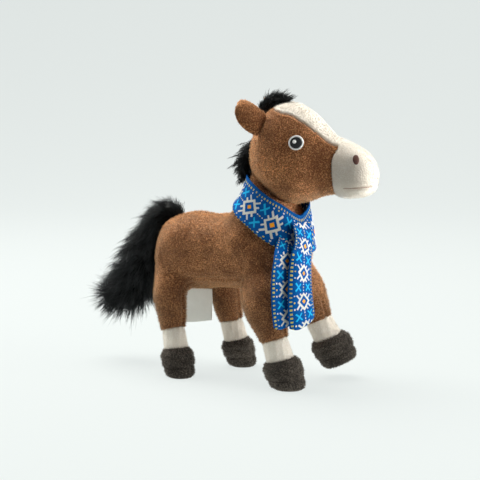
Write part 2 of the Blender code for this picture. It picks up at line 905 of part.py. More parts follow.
def build_hair(shop, head, finish):
    """Forelock and mane, sewn into the head."""
    end = len(HEAD_SHARES) - 1
    bed_form = head_form(0, end, BED_ROWS).grown(GAP)
    bed = shop.cutter("hair_bed", bed_form.mesh("hair_bed"), head)
    for name, station, shares, radius_shares, long, wide, thick in (
        (
            "forelock",
            FORELOCK_STATION,
            FORELOCK_PATH_SHARES,
            FORELOCK_RADIUS_SHARES,
            FORELOCK_LENGTH,
            FORELOCK_WIDTH,
            FORELOCK_HEIGHT,
        ),
        (
            "mane",
            0,
            MANE_PATH_SHARES,
            MANE_RADIUS_SHARES,
            MANE_LENGTH,
            MANE_WIDTH,
            MANE_THICKNESS,
        ),
    ):
        root = head_rings([station])[0, 0]
        path = root + np.array([(x * long, 0, z * long) for x, z in shares])
        shape = hair_form(
            path,
            np.array(radius_shares) * thick,
            wide / thick,
            HAIR_ROWS,
            HAIR_AROUND,
            HAIR_LOCKS,
            HAIR_LOCK_DEPTH_SHARE,
        )
        carve(shop.part(name, shape.mesh(name), finish["hair"], head), bed)


def tail_hinge():
    """Where the tail is sewn on, on the middle line of the rump, and where it turns."""
    form = trunk_form(FINE_ROWS)
    row = int(TAIL_SEAT_SHARE * FINE_ROWS)
    root = form.rings[row, 0]
    return root, root + TAIL_HINGE_OFFSET * form.normals()[row, 0]


def build_tail(shop, finish, trunk_bed):
    """The tail, a tube of long-haired cloth sewn into the rump seam."""
    root, place = tail_hinge()
    hinge = shop.joint("tail_joint", place, parent=shop.ground)
    path = np.array([(x * TAIL_LENGTH, 0, z * TAIL_LENGTH) for x, z in TAIL_PATH_SHARES])
    radii = np.array(TAIL_RADIUS_SHARES) * TAIL_DIAMETER / 2
    shape = hair_form(
        path,
        radii,
        TAIL_WIDTH_SHARE,
        TAIL_ROWS,
        TAIL_AROUND,
        HAIR_LOCKS,
        TAIL_LOCK_DEPTH_SHARE,
    )
    shape.start = root - place
    carve(shop.part("tail", shape.mesh("tail"), finish["hair"], hinge), trunk_bed)
    return hinge


def leg_stations(front):
    """Heights and radii of a leg from inside the trunk down to the sole."""
    shank = FRONT_LEG_DIAMETER if front else HIND_LEG_DIAMETER
    hoof = FRONT_HOOF_DIAMETER if front else HIND_HOOF_DIAMETER
    sleeve = FRONT_SLEEVE_SHARES if front else HIND_SLEEVE_SHARES
    sock_top = HOOF_HEIGHT + SOCK_HEIGHT
    upper = BELLY_HEIGHT + LEG_TOP_SHARE * TRUNK_DEPTH - sock_top
    return {
        "sleeve": [(sock_top + h * upper, r * shank / 2) for h, r in sleeve],
        "sock": [(HOOF_HEIGHT + h * SOCK_HEIGHT, r * shank / 2) for h, r in SOCK_SHARES],
        "hoof": [(h * HOOF_HEIGHT, r * hoof / 2) for h, r in HOOF_SHARES],
        "sole": [(h * SOLE_HEIGHT, r * hoof / 2) for h, r in SOLE_SHARES],
    }


def build_leg(shop, name, finish, trunk_bed):
    """One leg: plush sleeve, sock, hoof, sole and filling."""
    front = name.endswith("front")
    lifted = name == "left_front"
    foot, top = (
        np.array([x * TRUNK_LENGTH, y * STANCE_WIDTH]) for x, y in LEG_SHARES[name]
    )
    lift = HOOF_LIFT if lifted else 0.0
    lean = (top - foot) / BELLY_HEIGHT
    sock_top = HOOF_HEIGHT + SOCK_HEIGHT
    bands = leg_stations(front)
    wave = oval(LEG_AROUND, 1.0)

    def rings(stations, inset=0.0):
        height, radius = np.asarray(stations, float).T
        radius = radius - inset
        square = np.clip(height / HOOF_HEIGHT, 0, 1)
        if lifted:
            square = np.ones_like(height)
        forward = radius[:, None] * wave[0]
        sideways = radius[:, None] * wave[1]
        rise = -square[:, None] * (forward * lean[0] + sideways * lean[1])
        toe = np.clip(1 - height / sock_top, 0, 1) * TOE_SHARE * HOOF_HEIGHT
        inside = np.clip((height - BELLY_HEIGHT) / TRUNK_DEPTH, 0, 1)
        inward = 1 - THIGH_INWARD_SHARE * inside
        return np.stack(
            [
                (foot[0] + lean[0] * height + toe)[:, None] + forward,
                ((foot[1] + lean[1] * height) * inward)[:, None] + sideways,
                (height + lift * (1 - height / (BELLY_HEIGHT + TRUNK_DEPTH)))[:, None]
                + rise,
            ],
            axis=2,
        )

    def trimmed(stations, start, end):
        """The stations with their ends drawn in by half a gap."""
        height, radius = np.asarray(stations, float).T
        height[0] -= GAP / 2 if start else 0
        height[-1] += GAP / 2 if end else 0
        return np.stack([height, radius], axis=1)

    sleeve_stations = between(
        trimmed(bands["sleeve"], False, True),
        np.linspace(0, len(bands["sleeve"]) - 1, SLEEVE_ROWS),
    )
    sleeve = shop.part(
        f"leg_sleeve_{name}",
        Form(rings(sleeve_stations)).mesh(f"leg_sleeve_{name}"),
        finish["brown"],
    )
    carve(thicken(sleeve, PLUSH_WALL), trunk_bed)
    sock = Form(rings(trimmed(bands["sock"], True, True)))
    thicken(
        shop.part(f"sock_{name}", sock.mesh(f"sock_{name}"), finish["cream"]), PLUSH_WALL
    )
    hoof = Form(rings(trimmed(bands["hoof"], True, True)))
    thicken(
        shop.part(f"hoof_wall_{name}", hoof.mesh(f"hoof_wall_{name}"), finish["hoof"]),
        PLUSH_WALL,
    )
    sole_rings = rings(trimmed(bands["sole"], True, False))
    sole = Form(sole_rings)
    shop.part(f"sole_{name}", sole.mesh(f"sole_{name}", True), finish["hoof"])
    core = bands["sleeve"][:-1] + bands["sock"] + bands["hoof"][2:]
    core = [(h, r) for h, r in core if h > SOLE_HEIGHT + GAP]
    core.append((SOLE_HEIGHT + GAP, bands["hoof"][-1][1]))
    filling = Form(rings(core, PLUSH_WALL + STUFFING_GAP))
    stuffing = shop.part(
        f"leg_stuffing_{name}",
        filling.mesh(f"leg_stuffing_{name}", True),
        finish["fibre"],
    )
    carve(stuffing, trunk_bed)


def scarf_band_grid(rows, columns, standoff):
    """The ribbon round the neck: low on the chest, high on the withers."""
    turn = np.arange(columns) * 2 / columns
    share = np.minimum(turn, 2 - turn) * (len(SCARF_EDGE_SHARES) - 1)
    low, high = between(SCARF_EDGE_SHARES, share).T
    grid = np.empty((rows, columns, 3))
    for row in range(rows):
        stations = low + row / (rows - 1) * (high - low)
        for k in range(columns):
            place = stations[k]
            near = trunk_grid([place - BAND_STEP, place, place + BAND_STEP], columns)
            along = near[2, k] - near[0, k]
            across = near[1, (k + 1) % columns] - near[1, k - 1]
            normal = np.cross(along, across)
            normal /= np.linalg.norm(normal)
            if normal @ (near[1, k] - near[1].mean(axis=0)) < 0:
                normal = -normal
            grid[row, k] = near[1, k] + standoff * normal
    return grid


def scarf_end_grid(shares, length, bulge):
    """A hanging end of the ribbon, from its hinge line down."""
    rows = between(shares, np.linspace(0, len(shares) - 1, END_ROWS))
    across = np.linspace(-RIBBON_WIDTH / 2, RIBBON_WIDTH / 2, END_COLUMNS)
    facing = np.radians(rows[:, 4])
    grid = np.empty((len(rows), len(across), 3))
    forward = rows[:, 1] * bulge + rows[:, 2] * RIBBON_WIDTH
    grid[:, :, 0] = forward[:, None] - np.outer(np.sin(facing), across)
    grid[:, :, 1] = (rows[:, 3] * RIBBON_WIDTH)[:, None] + np.outer(
        np.cos(facing), across
    )
    grid[:, :, 2] = -(rows[:, 0] * length)[:, None]
    return grid


def build_scarf(shop, finish):
    """The ribbon round the neck and its two hanging ends."""
    ring = Form(scarf_band_grid(SCARF_ROWS, SCARF_COLUMNS, GAP + SCARF_STANDOFF))
    band = shop.part("scarf_band", ring.mesh("scarf_band"), finish["ribbon"])
    thicken(band, RIBBON_THICKNESS, inward=False)
    skin = GAP + SCARF_STANDOFF + RIBBON_THICKNESS
    chest = scarf_band_grid(SCARF_ROWS, SCARF_COLUMNS, skin)[:, SCARF_COLUMNS // 2]
    bulge = chest[:, 0].max() - chest[-1, 0]
    front = chest[-1] + np.array([GAP + RIBBON_THICKNESS / 2, 0, 0])
    under = np.array(
        [
            chest[:, 0].max() + UNDER_END_PLACE_SHARES[0] * RIBBON_WIDTH,
            UNDER_END_PLACE_SHARES[1] * RIBBON_WIDTH,
            chest[:, 2].min() - 2 * GAP,
        ]
    )
    hinges = {}
    for name, place, grid in (
        ("front", front, scarf_end_grid(FRONT_END_SHARES, SCARF_END_LENGTH, bulge)),
        ("under", under, scarf_end_grid(UNDER_END_SHARES, SCARF_UNDER_LENGTH, bulge)),
    ):
        hinge = shop.joint(f"scarf_end_{name}_joint", place, parent=shop.ground)
        end = shop.part(
            f"scarf_end_{name}",
            sheet_mesh(f"scarf_end_{name}", grid),
            finish["ribbon"],
            hinge,
        )
        thicken(end, RIBBON_THICKNESS)
        end.modifiers["wall"].offset = 0.0
        hinges[name] = hinge
    return hinges


def build_label(shop, finish):
    """The care label, hanging between the hind legs from the gusset seam."""
    low = trunk_form(FINE_ROWS, FINE_AROUND).rings
    place = np.array(
        [LABEL_SHARES[0] * TRUNK_LENGTH, LABEL_SHARES[1] * STANCE_WIDTH, 0.0]
    )
    near = np.abs(low[..., 0] - place[0]) < LABEL_WIDTH / 2
    near &= np.abs(low[..., 1] - place[1]) < 2 * LABEL_THICKNESS
    near &= low[..., 2] < BELLY_HEIGHT + TRUNK_DEPTH / 2
    place[2] = low[..., 2][near].min() - GAP
    hinge = shop.joint("care_label_joint", place, parent=shop.ground)
    mesh = block_mesh(
        "care_label",
        (-LABEL_WIDTH / 2, -LABEL_THICKNESS / 2, -LABEL_LENGTH),
        (LABEL_WIDTH / 2, LABEL_THICKNESS / 2, 0),
    )
    shop.part("care_label", mesh, finish["satin"], hinge)
    return hinge


def centre_on_floor(shop):
    """Put the frame's origin under the middle of everything, on the floor."""
    bpy.context.view_layer.update()
    graph = bpy.context.evaluated_depsgraph_get()
    corners = []
    for obj in shop.parts.objects:
        if obj.type == "MESH":
            made = obj.evaluated_get(graph)
            mesh = made.to_mesh()
            points = np.empty(len(mesh.vertices) * 3)
            mesh.vertices.foreach_get("co", points)
            turn = np.array(made.matrix_world)
            points = points.reshape(-1, 3) @ turn[:3, :3].T + turn[:3, 3]
            corners += [points.min(axis=0), points.max(axis=0)]
            made.to_mesh_clear()
    corners = np.array(corners)
    middle = (corners.min(axis=0) + corners.max(axis=0)) / 2
    shop.ground.location = (-middle[0], -middle[1], -corners[:, 2].min())
    bpy.context.view_layer.update()


def main():
    """Build the horse."""
    clear_scene()
    shop = Workshop()
    finish = {
        "brown": material("plush_brown", PLUSH_BROWN, 0.9),
        "cream": material("plush_cream", PLUSH_CREAM, 0.9),
        "hoof": material("plush_hoof", PLUSH_HOOF, 0.9),
        "hair": material("long_hair", HAIR_BLACK, 0.6),
        "fibre": material("fibre_filling", FIBRE_WHITE, 1.0),
        "white": material("white_thread", THREAD_WHITE, 0.5),
        "black": material("black_thread", THREAD_BLACK, 0.4),
        "dark_brown": material("brown_thread", THREAD_BROWN, 0.5),
        "ribbon": material("woven_ribbon", RIBBON_BLUE, 0.6),
        "satin": material("satin_label", SATIN_WHITE, 0.5),
    }
    build_trunk(shop, finish)
    trunk_bed = shop.cutter("trunk_bed", trunk_form().grown(GAP).mesh("trunk_bed", True))
    for name in LEG_SHARES:
        build_leg(shop, name, finish, trunk_bed)
    middle, normal = neck_seam()
    head = shop.joint("head_joint", middle, HEAD_YAW, shop.ground)
    build_head(shop, head, finish)
    build_face(shop, head, finish)
    hinges = {
        "ear_right": build_ear(shop, head, "right", -1, finish),
        "ear_left": build_ear(shop, head, "left", 1, finish),
    }
    build_hair(shop, head, finish)
    hinges["tail"] = build_tail(shop, finish, trunk_bed)
    hinges.update(build_scarf(shop, finish))
    hinges["label"] = build_label(shop, finish)
    centre_on_floor(shop)
    axes = {
        f"ear_{name}": head.matrix_world.to_3x3() @ Vector(ear_frame(side)[2])
        for name, side in (("right", -1), ("left", 1))
    }
    hinges["head"] = head
    axes["head"] = normal
    for name, hinge in hinges.items():
        place = [round(v, 5) for v in hinge.matrix_world.translation]
        print(name, "joint at", place, *(round(v, 4) for v in axes.get(name, ())))


main()
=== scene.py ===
"""The looks of a sewn toy horse of short plush.

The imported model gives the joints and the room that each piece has. This script
dresses it: stuffed plush skins with their pile, socks and hooves, an embroidered
face, long black hair, and a woven ribbon worn as a scarf.

The horse faces +X, its left side is +Y and the floor is z = 0. Lengths are in metres.
"""

import json
import logging
import math
from dataclasses import dataclass, field
from enum import Enum

import bmesh
import bpy
import numpy as np
from mathutils import Matrix, Vector


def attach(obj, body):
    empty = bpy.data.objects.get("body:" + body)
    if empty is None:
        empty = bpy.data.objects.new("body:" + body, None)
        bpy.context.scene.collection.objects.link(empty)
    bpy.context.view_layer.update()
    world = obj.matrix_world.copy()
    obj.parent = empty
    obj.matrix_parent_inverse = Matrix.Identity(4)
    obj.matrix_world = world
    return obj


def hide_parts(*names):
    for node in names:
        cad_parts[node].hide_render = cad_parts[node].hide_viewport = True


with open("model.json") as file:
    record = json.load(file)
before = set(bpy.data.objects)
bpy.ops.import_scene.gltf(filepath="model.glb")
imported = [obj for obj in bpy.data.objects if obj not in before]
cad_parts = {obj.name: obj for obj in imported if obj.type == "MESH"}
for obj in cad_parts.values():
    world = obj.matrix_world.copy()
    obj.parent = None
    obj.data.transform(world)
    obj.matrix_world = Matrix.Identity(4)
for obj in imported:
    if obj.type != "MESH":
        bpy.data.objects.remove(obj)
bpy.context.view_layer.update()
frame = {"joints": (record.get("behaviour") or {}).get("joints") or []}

log = logging.getLogger("plush_horse")
MM = 0.001
Array = np.ndarray
Table = tuple[tuple[float, ...], ...]
Colour = tuple[float, float, float]


def between(table: Table | Array, station: Array | float) -> Array:
    """Read a table between its rows on a smooth curve.

    The rows before, at, after and beyond the station are joined by the Catmull-Rom
    cubic, so the curve passes through every row.

    Args:
        table: Rows of numbers.
        station: Row numbers, which may be fractional, in any shape.

    Returns:
        One row for each station, along a new last axis.
    """
    rows = np.asarray(table, float)
    place = np.asarray(station, float)
    last = len(rows) - 1
    low = np.clip(np.floor(place).astype(int), 0, last - 1)
    t = (place - low)[..., None]
    before = rows[np.clip(low - 1, 0, last)]
    start = rows[low]
    end = rows[low + 1]
    after = rows[np.clip(low + 2, 0, last)]
    return 0.5 * (
        2 * start
        + (end - before) * t
        + (2 * before - 5 * start + 4 * end - after) * t**2
        + (3 * start - before - 3 * end + after) * t**3
    )


def rounded(wave: Array, fullness: float) -> Array:
    """A sine or cosine raised to a power that keeps its sign, for a fuller oval."""
    return np.sign(wave) * np.abs(wave) ** fullness


def unit(vectors: Array) -> Array:
    """The vectors along the last axis, each with a length of one."""
    return vectors / np.maximum(np.linalg.norm(vectors, axis=-1, keepdims=True), 1e-12)


def bump_at(distance: Array, width: float) -> Array:
    """A bell curve, one where the distance is zero, that dies out over the width."""
    return np.exp(-((distance / width) ** 2))


def smooth_step(value: Array, low: float, high: float) -> Array:
    """Zero below low, one above high, and an S curve between them."""
    t = np.clip((value - low) / (high - low), 0, 1)
    return t * t * (3 - 2 * t)


def surface_normals(grid: Array) -> Array:
    """Normals of a grid of points: the cross product of its two tangents."""
    return unit(np.cross(np.gradient(grid, axis=0), np.gradient(grid, axis=1)))


def full_turn(count: int) -> Array:
    """Angles of points spaced evenly round a full turn."""
    return np.arange(count) * 2 * math.pi / count


def square_ways(along: Array, guide: Array) -> tuple[Array, Array]:
    """Two ways square to a line: along x guide, and along x the first of them."""
    aside = unit(np.cross(along, guide))
    return aside, np.cross(along, aside)


def ring_of(aside: Array, third: Array, count: int) -> Array:
    """Points of circles of radius one: aside * cosine + third * sine of the turn."""
    angle = full_turn(count)[:, None]
    return np.cos(angle) * aside[..., None, :] + np.sin(angle) * third[..., None, :]


def turned_by(points: Array, angle: float) -> Array:
    """Points turned about the upright: (x cos - y sin, x sin + y cos, z).

    Args:
        points: The points.
        angle: The turn in radians, to the left.

    Returns:
        The turned points.
    """
    cosine, sine = math.cos(angle), math.sin(angle)
    x, y, z = np.moveaxis(points, -1, 0)
    return np.stack([x * cosine - y * sine, x * sine + y * cosine, z], axis=-1)


@dataclass
class Cloth:
    """Points and faces of one piece before it becomes a Blender mesh."""

    points: Array
    quads: Array
    tris: Array = field(default_factory=lambda: np.zeros((0, 3), int))
    uv: Array | None = None
    marks: dict[str, Array] = field(default_factory=dict)

    @classmethod
    def from_grid(
        cls,
        grid: Array,
        wrap: bool = False,
        start: Array | None = None,
        end: Array | None = None,
    ) -> "Cloth":
        """Join a grid of points into quads, row to row and column to column.

        Args:
            grid: Points, rows by columns by three.
            wrap: Joins the last column to the first one.
            start: A point that closes the first row.
            end: A point that closes the last row.

        Returns:
            The joined grid.
        """
        rows, columns = grid.shape[:2]
        index = np.arange(rows * columns).reshape(rows, columns)
        if wrap:
            index = np.concatenate([index, index[:, :1]], axis=1)
        quads = np.stack(
            [index[:-1, :-1], index[:-1, 1:], index[1:, 1:], index[1:, :-1]], axis=-1
        )
        points = [grid.reshape(-1, 3)]
        fans = [np.zeros((0, 3), int)]
        count = rows * columns
        for pole, ring in ((start, index[0][::-1]), (end, index[-1])):
            if pole is None:
                continue
            points.append(np.asarray(pole, float)[None])
            tip = np.full(len(ring) - 1, count)
            fans.append(np.stack([ring[:-1], ring[1:], tip], axis=-1))
            count += 1
        return cls(np.concatenate(points), quads.reshape(-1, 4), np.concatenate(fans))

    @classmethod
    def tube(cls, grid: Array) -> "Cloth":
        """A grid joined all round, with each end row closed at its middle."""
        return cls.from_grid(grid, True, grid[0].mean(axis=0), grid[-1].mean(axis=0))

    @classmethod
    def joined(cls, pieces: list["Cloth"]) -> "Cloth":
        """Put several cloths into one, with their faces renumbered.

        Args:
            pieces: The cloths, in order.

        Returns:
            One cloth.
        """
        shift = np.cumsum([0] + [len(p.points) for p in pieces[:-1]])
        return cls(
            np.concatenate([p.points for p in pieces]),
            np.concatenate([p.quads + s for p, s in zip(pieces, shift)]),
            np.concatenate([p.tris + s for p, s in zip(pieces, shift)]),
        )

    def triangles(self) -> Array:
        """Every face as triangles, with each quad cut along its diagonal."""
        halves = [self.quads[:, [0, 1, 2]], self.quads[:, [0, 2, 3]], self.tris]
        return np.concatenate(halves)

    def normals(self) -> Array:
        """Add up the cross products of the faces round each point.

        Returns:
            A normal for each point.
        """
        tris = self.triangles()
        a, b, c = (self.points[tris[:, k]] for k in range(3))
        face = np.cross(b - a, c - a)
        total = np.zeros_like(self.points)
        for k in range(3):
            np.add.at(total, tris[:, k], face)
        return unit(total)

    def face_away(self, middle: Array) -> None:
        """Turn the faces round if their normals point towards the middle.

        Args:
            middle: A place inside the cloth.
        """
        if (self.normals() * (self.points - middle)).sum() < 0:
            self.quads = self.quads[:, ::-1]
            self.tris = self.tris[:, ::-1]

    def relax(self, weight: Array | float, rounds: int) -> None:
        """Move each point towards the mean of its neighbours.

        Args:
            weight: The share of the way that a point moves in one round.
            rounds: How many times.
        """
        weight = np.broadcast_to(weight, len(self.points))[:, None]
        edges = np.concatenate([self.quads[:, [k, (k + 1) % 4]] for k in range(4)])
        if len(self.tris):
            fan = np.concatenate([self.tris[:, [k, (k + 1) % 3]] for k in range(3)])
            edges = np.concatenate([edges, fan])
        near = np.bincount(edges.ravel(), minlength=len(self.points))[:, None]
        for _ in range(rounds):
            total = np.zeros_like(self.points)
            np.add.at(total, edges[:, 0], self.points[edges[:, 1]])
            np.add.at(total, edges[:, 1], self.points[edges[:, 0]])
            mean = total / np.maximum(near, 1)
            self.points += weight * (mean - self.points)

    def mesh(self, name: str) -> bpy.types.Mesh:
        """Put the cloth into a new Blender mesh, smooth shaded.

        Args:
            name: The mesh's name.

        Returns:
            The mesh, with its UV map and marks.
        """
        made = bpy.data.meshes.new(name)
        faces = self.quads.tolist() + self.tris.tolist()
        made.from_pydata(self.points.tolist(), [], faces)
        if self.uv is not None:
            layer = made.uv_layers.new(name="weave")
            corners = np.concatenate([self.quads.ravel(), self.tris.ravel()])
            layer.data.foreach_set("uv", self.uv[corners].astype(np.float32).ravel())
        for mark, values in self.marks.items():
            layer = made.attributes.new(mark, "FLOAT", "POINT")
            layer.data.foreach_set("value", values.astype(np.float32))
        made.shade_smooth()
        made.update()
        return made


def mend(mesh: bpy.types.Mesh, merge: bool = False) -> None:
    """Turn a closed mesh's faces outwards, or merge the points that lie in one place.

    Args:
        mesh: The mesh, whose UV map stays.
        merge: True to merge.
    """
    work = bmesh.new()
    work.from_mesh(mesh)
    if merge:
        bmesh.ops.remove_doubles(work, verts=work.verts, dist=1e-6)
    else:
        bmesh.ops.recalc_face_normals(work, faces=work.faces)
    work.to_mesh(mesh)
    work.free()


def place_piece(
    name: str, mesh: bpy.types.Mesh, finish: bpy.types.Material, body: str = ""
) -> bpy.types.Object:
    """Link a finished mesh to the scene.

    Args:
        name: The piece's name.
        mesh: Its mesh.
        finish: Its material.
        body: The body that it moves with, if it is part of the horse.

    Returns:
        The piece's object.
    """
    made = bpy.data.objects.new(name, mesh)
    mesh.materials.append(finish)
    bpy.context.scene.collection.objects.link(made)
    if body:
        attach(made, body)
    return made


def give_wall(piece: bpy.types.Object, thickness: float, offset: float) -> None:
    """Give a sheet its thickness: inwards at an offset of -1, to both sides at 0.

    Args:
        piece: The sheet.
        thickness: How thick it becomes.
        offset: Where the wall lies.
    """
    solid = piece.modifiers.new("wall", "SOLIDIFY")
    solid.thickness = thickness
    solid.offset = offset


def evaluated_cloth(obj: bpy.types.Object) -> Cloth:
    """Read the quads of an object's mesh after its modifiers, and remove the object.

    Args:
        obj: The object.

    Returns:
        Its points and faces.
    """
    graph = bpy.context.evaluated_depsgraph_get()
    source = obj.evaluated_get(graph)
    mesh = source.to_mesh()
    points = np.empty(len(mesh.vertices) * 3, np.float32)
    mesh.vertices.foreach_get("co", points)
    corners = np.empty(len(mesh.loops), np.int32)
    mesh.loops.foreach_get("vertex_index", corners)
    source.to_mesh_clear()
    bpy.data.objects.remove(obj)
    return Cloth(points.reshape(-1, 3).astype(float), corners.reshape(-1, 4))


class Signal:
    """A shader socket that Python's operators work on, so that sums read as sums."""

    def __init__(self, graph: "NodeGraph", socket: bpy.types.NodeSocket) -> None:
        """Hold an output socket and the graph that it is in."""
        self.graph = graph
        self.socket = socket

    def math(self, operation: str, *others: "Signal | float") -> "Signal":
        """A Math node on this signal and the others."""
        values = dict(enumerate((self, *others)))
        return self.graph.node("ShaderNodeMath", values, operation=operation)



    def __add__(self, other: "Signal | float") -> "Signal":
        """The sum."""
        return self.math("ADD", other)

    def __sub__(self, other: "Signal | float") -> "Signal":
        """The difference."""
        return self.math("SUBTRACT", other)

    def __rsub__(self, other: float) -> "Signal":
        """A number less this signal."""
        return self.graph.node("ShaderNodeMath", {0: other, 1: self}, operation="SUBTRACT")

    def __mul__(self, other: "Signal | float") -> "Signal":
        """The product."""
        return self.math("MULTIPLY", other)

    def __truediv__(self, other: "Signal | float") -> "Signal":
        """The quotient."""
        return self.math("DIVIDE", other)

    def __abs__(self) -> "Signal":
        """The size without the sign."""
        return self.math("ABSOLUTE")

    __radd__ = __add__
    __rmul__ = __mul__

    def below(self, other: "Signal | float") -> "Signal":
        """One where this signal is under the other, zero elsewhere."""
        return self.math("LESS_THAN", other)

    def most(self, other: "Signal | float") -> "Signal":
        """The larger of the two."""
        return self.math("MAXIMUM", other)

    def clamped(self) -> "Signal":
        """This signal held between zero and one."""
        return self.math("MINIMUM", 1.0).most(0.0)

    def beside(self, output: int | str) -> "Signal":
        """Another output of the node that this signal comes from."""
        return Signal(self.graph, self.socket.node.outputs[output])

    def wrapped(self, pitch: float) -> "Signal":
        """This length counted from the middle of the repeat that it falls in."""
        return self.math("WRAP", pitch / 2, -pitch / 2)


class NodeGraph:
    """A material being wired: one method makes every kind of node."""

    def __init__(self, name: str, owner: bpy.types.World | None = None) -> None:
        """Start with no nodes.

        Args:
            name: The name of the new material.
            owner: The world to wire instead of a new material.
        """
        self.material = owner or bpy.data.materials.new(name)
        self.material.use_nodes = True
        self.tree = self.material.node_tree
        self.tree.nodes.clear()

    def node(
        self, kind: str, values: dict | None = None, output: int | str = 0, **settings: str
    ) -> "Signal | None":
        """Make a node.

        Args:
            kind: The node's Blender type.
            values: A number, colour or signal for each named or numbered input.
            output: Which of its outputs to hand on.
            settings: Its properties, such as its operation, which are set first.

        Returns:
            The chosen output as a signal, or None where it has no output.
        """
        made = self.tree.nodes.new(kind)
        for key, value in settings.items():
            setattr(made, key, value)
        for key, value in (values or {}).items():
            socket = made.inputs[key]
            if isinstance(value, Signal):
                self.tree.links.new(value.socket, socket)
            elif isinstance(value, tuple) and len(value) == 3 and socket.type == "RGBA":
                socket.default_value = (*value, 1.0)
            else:
                socket.default_value = value
        return Signal(self, made.outputs[output]) if made.outputs else None

    def mark(self, name: str) -> Signal:
        """A number that the mesh holds at each point."""
        return self.node("ShaderNodeAttribute", output="Fac", attribute_name=name)

    def place(self, kind: str = "Object") -> Signal:
        """Where a point lies on the object, or which way it lies in the world."""
        return self.node("ShaderNodeTexCoord", output=kind)

    def weave(self) -> Signal:
        """How far a point lies along the piece's UV map. Across is the output beside it."""
        place = self.node("ShaderNodeUVMap", uv_map="weave")
        return self.node("ShaderNodeSeparateXYZ", {0: place}, 0)

    def noise(self, size: float, detail: float = 3.0) -> Signal:
        """Soft noise with lumps about size metres wide, fixed to the object."""
        values = {"Vector": self.place(), "Scale": 1 / size, "Detail": detail, "Roughness": 0.6}
        return self.node("ShaderNodeTexNoise", values, "Fac")

    def blend(self, share: Signal, low: "Signal | Colour", high: "Signal | Colour") -> Signal:
        """Colours mixed by a share from zero to one."""
        return self.node("ShaderNodeMix", {0: share, 6: low, 7: high}, 2, data_type="RGBA")

    def facing(self, way: Signal, ahead: tuple[float, ...]) -> Signal:
        """How far a vector lies ahead: its dot product with a fixed direction."""
        values = {0: way, 1: ahead}
        return self.node("ShaderNodeVectorMath", values, "Value", operation="DOT_PRODUCT")

    def either(self, share: "Signal | float", low: Signal, high: Signal) -> Signal:
        """Two shaders mixed by a share from zero to one."""
        return self.node("ShaderNodeMixShader", {0: share, 1: low, 2: high})

    def relief(self, height: Signal, depth: float) -> Signal:
        """A normal bent by a height that spans depth metres."""
        values = {"Height": height, "Strength": 1.0, "Distance": depth}
        return self.node("ShaderNodeBump", values)

    def surface(self, values: dict) -> bpy.types.Material:
        """End the material in a Principled shader.

        Args:
            values: Its inputs.

        Returns:
            The material.
        """
        shader = self.node("ShaderNodeBsdfPrincipled", values)
        self.node("ShaderNodeOutputMaterial", {"Surface": shader})
        return self.material


@dataclass(frozen=True)
class Plush:
    """Short dense pile: lit tips over a darker ground of painted shade, brushed here and there.

    The colour is scaled by height: painted shade darkens it low on the legs, and
    painted light brightens it high on the head.
    """

    name: str
    tip: Colour
    ground: Colour
    rim: Colour
    sheen: float
    low_painted_shade: float = 1.0
    high_painted_light: float = 1.0
    low_height: float = 54 * MM
    high_height: float = 125 * MM
    painted_light_run: float = 30 * MM
    brushed_size: float = 20 * MM
    brushed_share: float = 1.3
    grain_size: float = 0.9 * MM
    grain_share: float = 3.6

    def material(self, loose: bool) -> bpy.types.Material:
        """Build the finish.

        Args:
            loose: True for the standing fibres, whose marks say how far along a
                fibre a point is, false for the skin that they stand on.

        Returns:
            The material.
        """
        graph = NodeGraph(self.name + ("_pile" if loose else "_skin"))
        brushed = graph.noise(self.brushed_size, 2.0)
        grain = graph.noise(self.grain_size, 2.0)
        tuft = (grain - 0.5) * self.grain_share + (brushed - 0.5) * self.brushed_share
        # Painted shade deep in the pile: each fibre darkens towards its root, and the skin under
        # the fibres takes mostly the dark ground colour.
        if loose:
            share = 0.12 + graph.mark("reach") * 0.30 + graph.mark("tone") * 0.40 + tuft
        else:
            share = 0.10 + tuft
        colour = graph.blend(share.clamped(), self.ground, self.tip)
        # Painted shade low on the legs and painted light high on the head: the colour is scaled by
        # height.
        height = graph.node("ShaderNodeSeparateXYZ", {0: graph.place()}, 2)
        low = 1 - ((height - self.low_height) / self.painted_light_run).clamped()
        high = ((height - self.high_height) / self.painted_light_run).clamped()
        tone = 1 + low * (self.low_painted_shade - 1) + high * (self.high_painted_light - 1)
        scaled = {0: colour, "Scale": tone}
        values = {
            "Base Color": graph.node("ShaderNodeVectorMath", scaled, operation="SCALE"),
            "Roughness": 0.85,
            "Specular IOR Level": 0.2,
            "Sheen Weight": self.sheen,
            "Sheen Roughness": 0.45,
            "Sheen Tint": (*self.rim, 1.0),
        }
        if not loose:
            values["Normal"] = graph.relief(grain, 0.5 * MM)
        return graph.surface(values)


@dataclass(frozen=True)
class LongHair:
    """Fine black hair with a cold gleam along each strand."""

    name: str
    root: Colour
    tip: Colour

    def material(self) -> bpy.types.Material:
        """Build the finish.

        Returns:
            The material.
        """
        graph = NodeGraph(self.name)
        share = graph.mark("reach") * 0.6 + graph.mark("tone") * 0.4
        values = {
            "Base Color": graph.blend(share, self.root, self.tip),
            "Roughness": 0.55,
            "Specular IOR Level": 0.25,
            "Sheen Weight": 0.02,
            "Sheen Roughness": 0.5,
            "Sheen Tint": (0.3, 0.5, 0.56, 1.0),
        }
        return graph.surface(values)


@dataclass(frozen=True)
class Thread:
    """Embroidery thread, laid side by side as satin stitch."""

    name: str
    colour: Colour
    shade: Colour
    gloss: float = 0.42

    def material(self) -> bpy.types.Material:
        """Build the finish.

        Returns:
            The material.
        """
        graph = NodeGraph(self.name)
        fleck = graph.noise(0.5 * MM, 2.0)
        share = graph.mark("ridge") * 0.7 + fleck * 0.3
        values = {
            "Base Color": graph.blend(share, self.shade, self.colour),
            "Roughness": 1 - self.gloss - fleck * 0.15,
            "Specular IOR Level": 0.5,
            "Normal": graph.relief(fleck, 0.1 * MM),
        }
        return graph.surface(values)


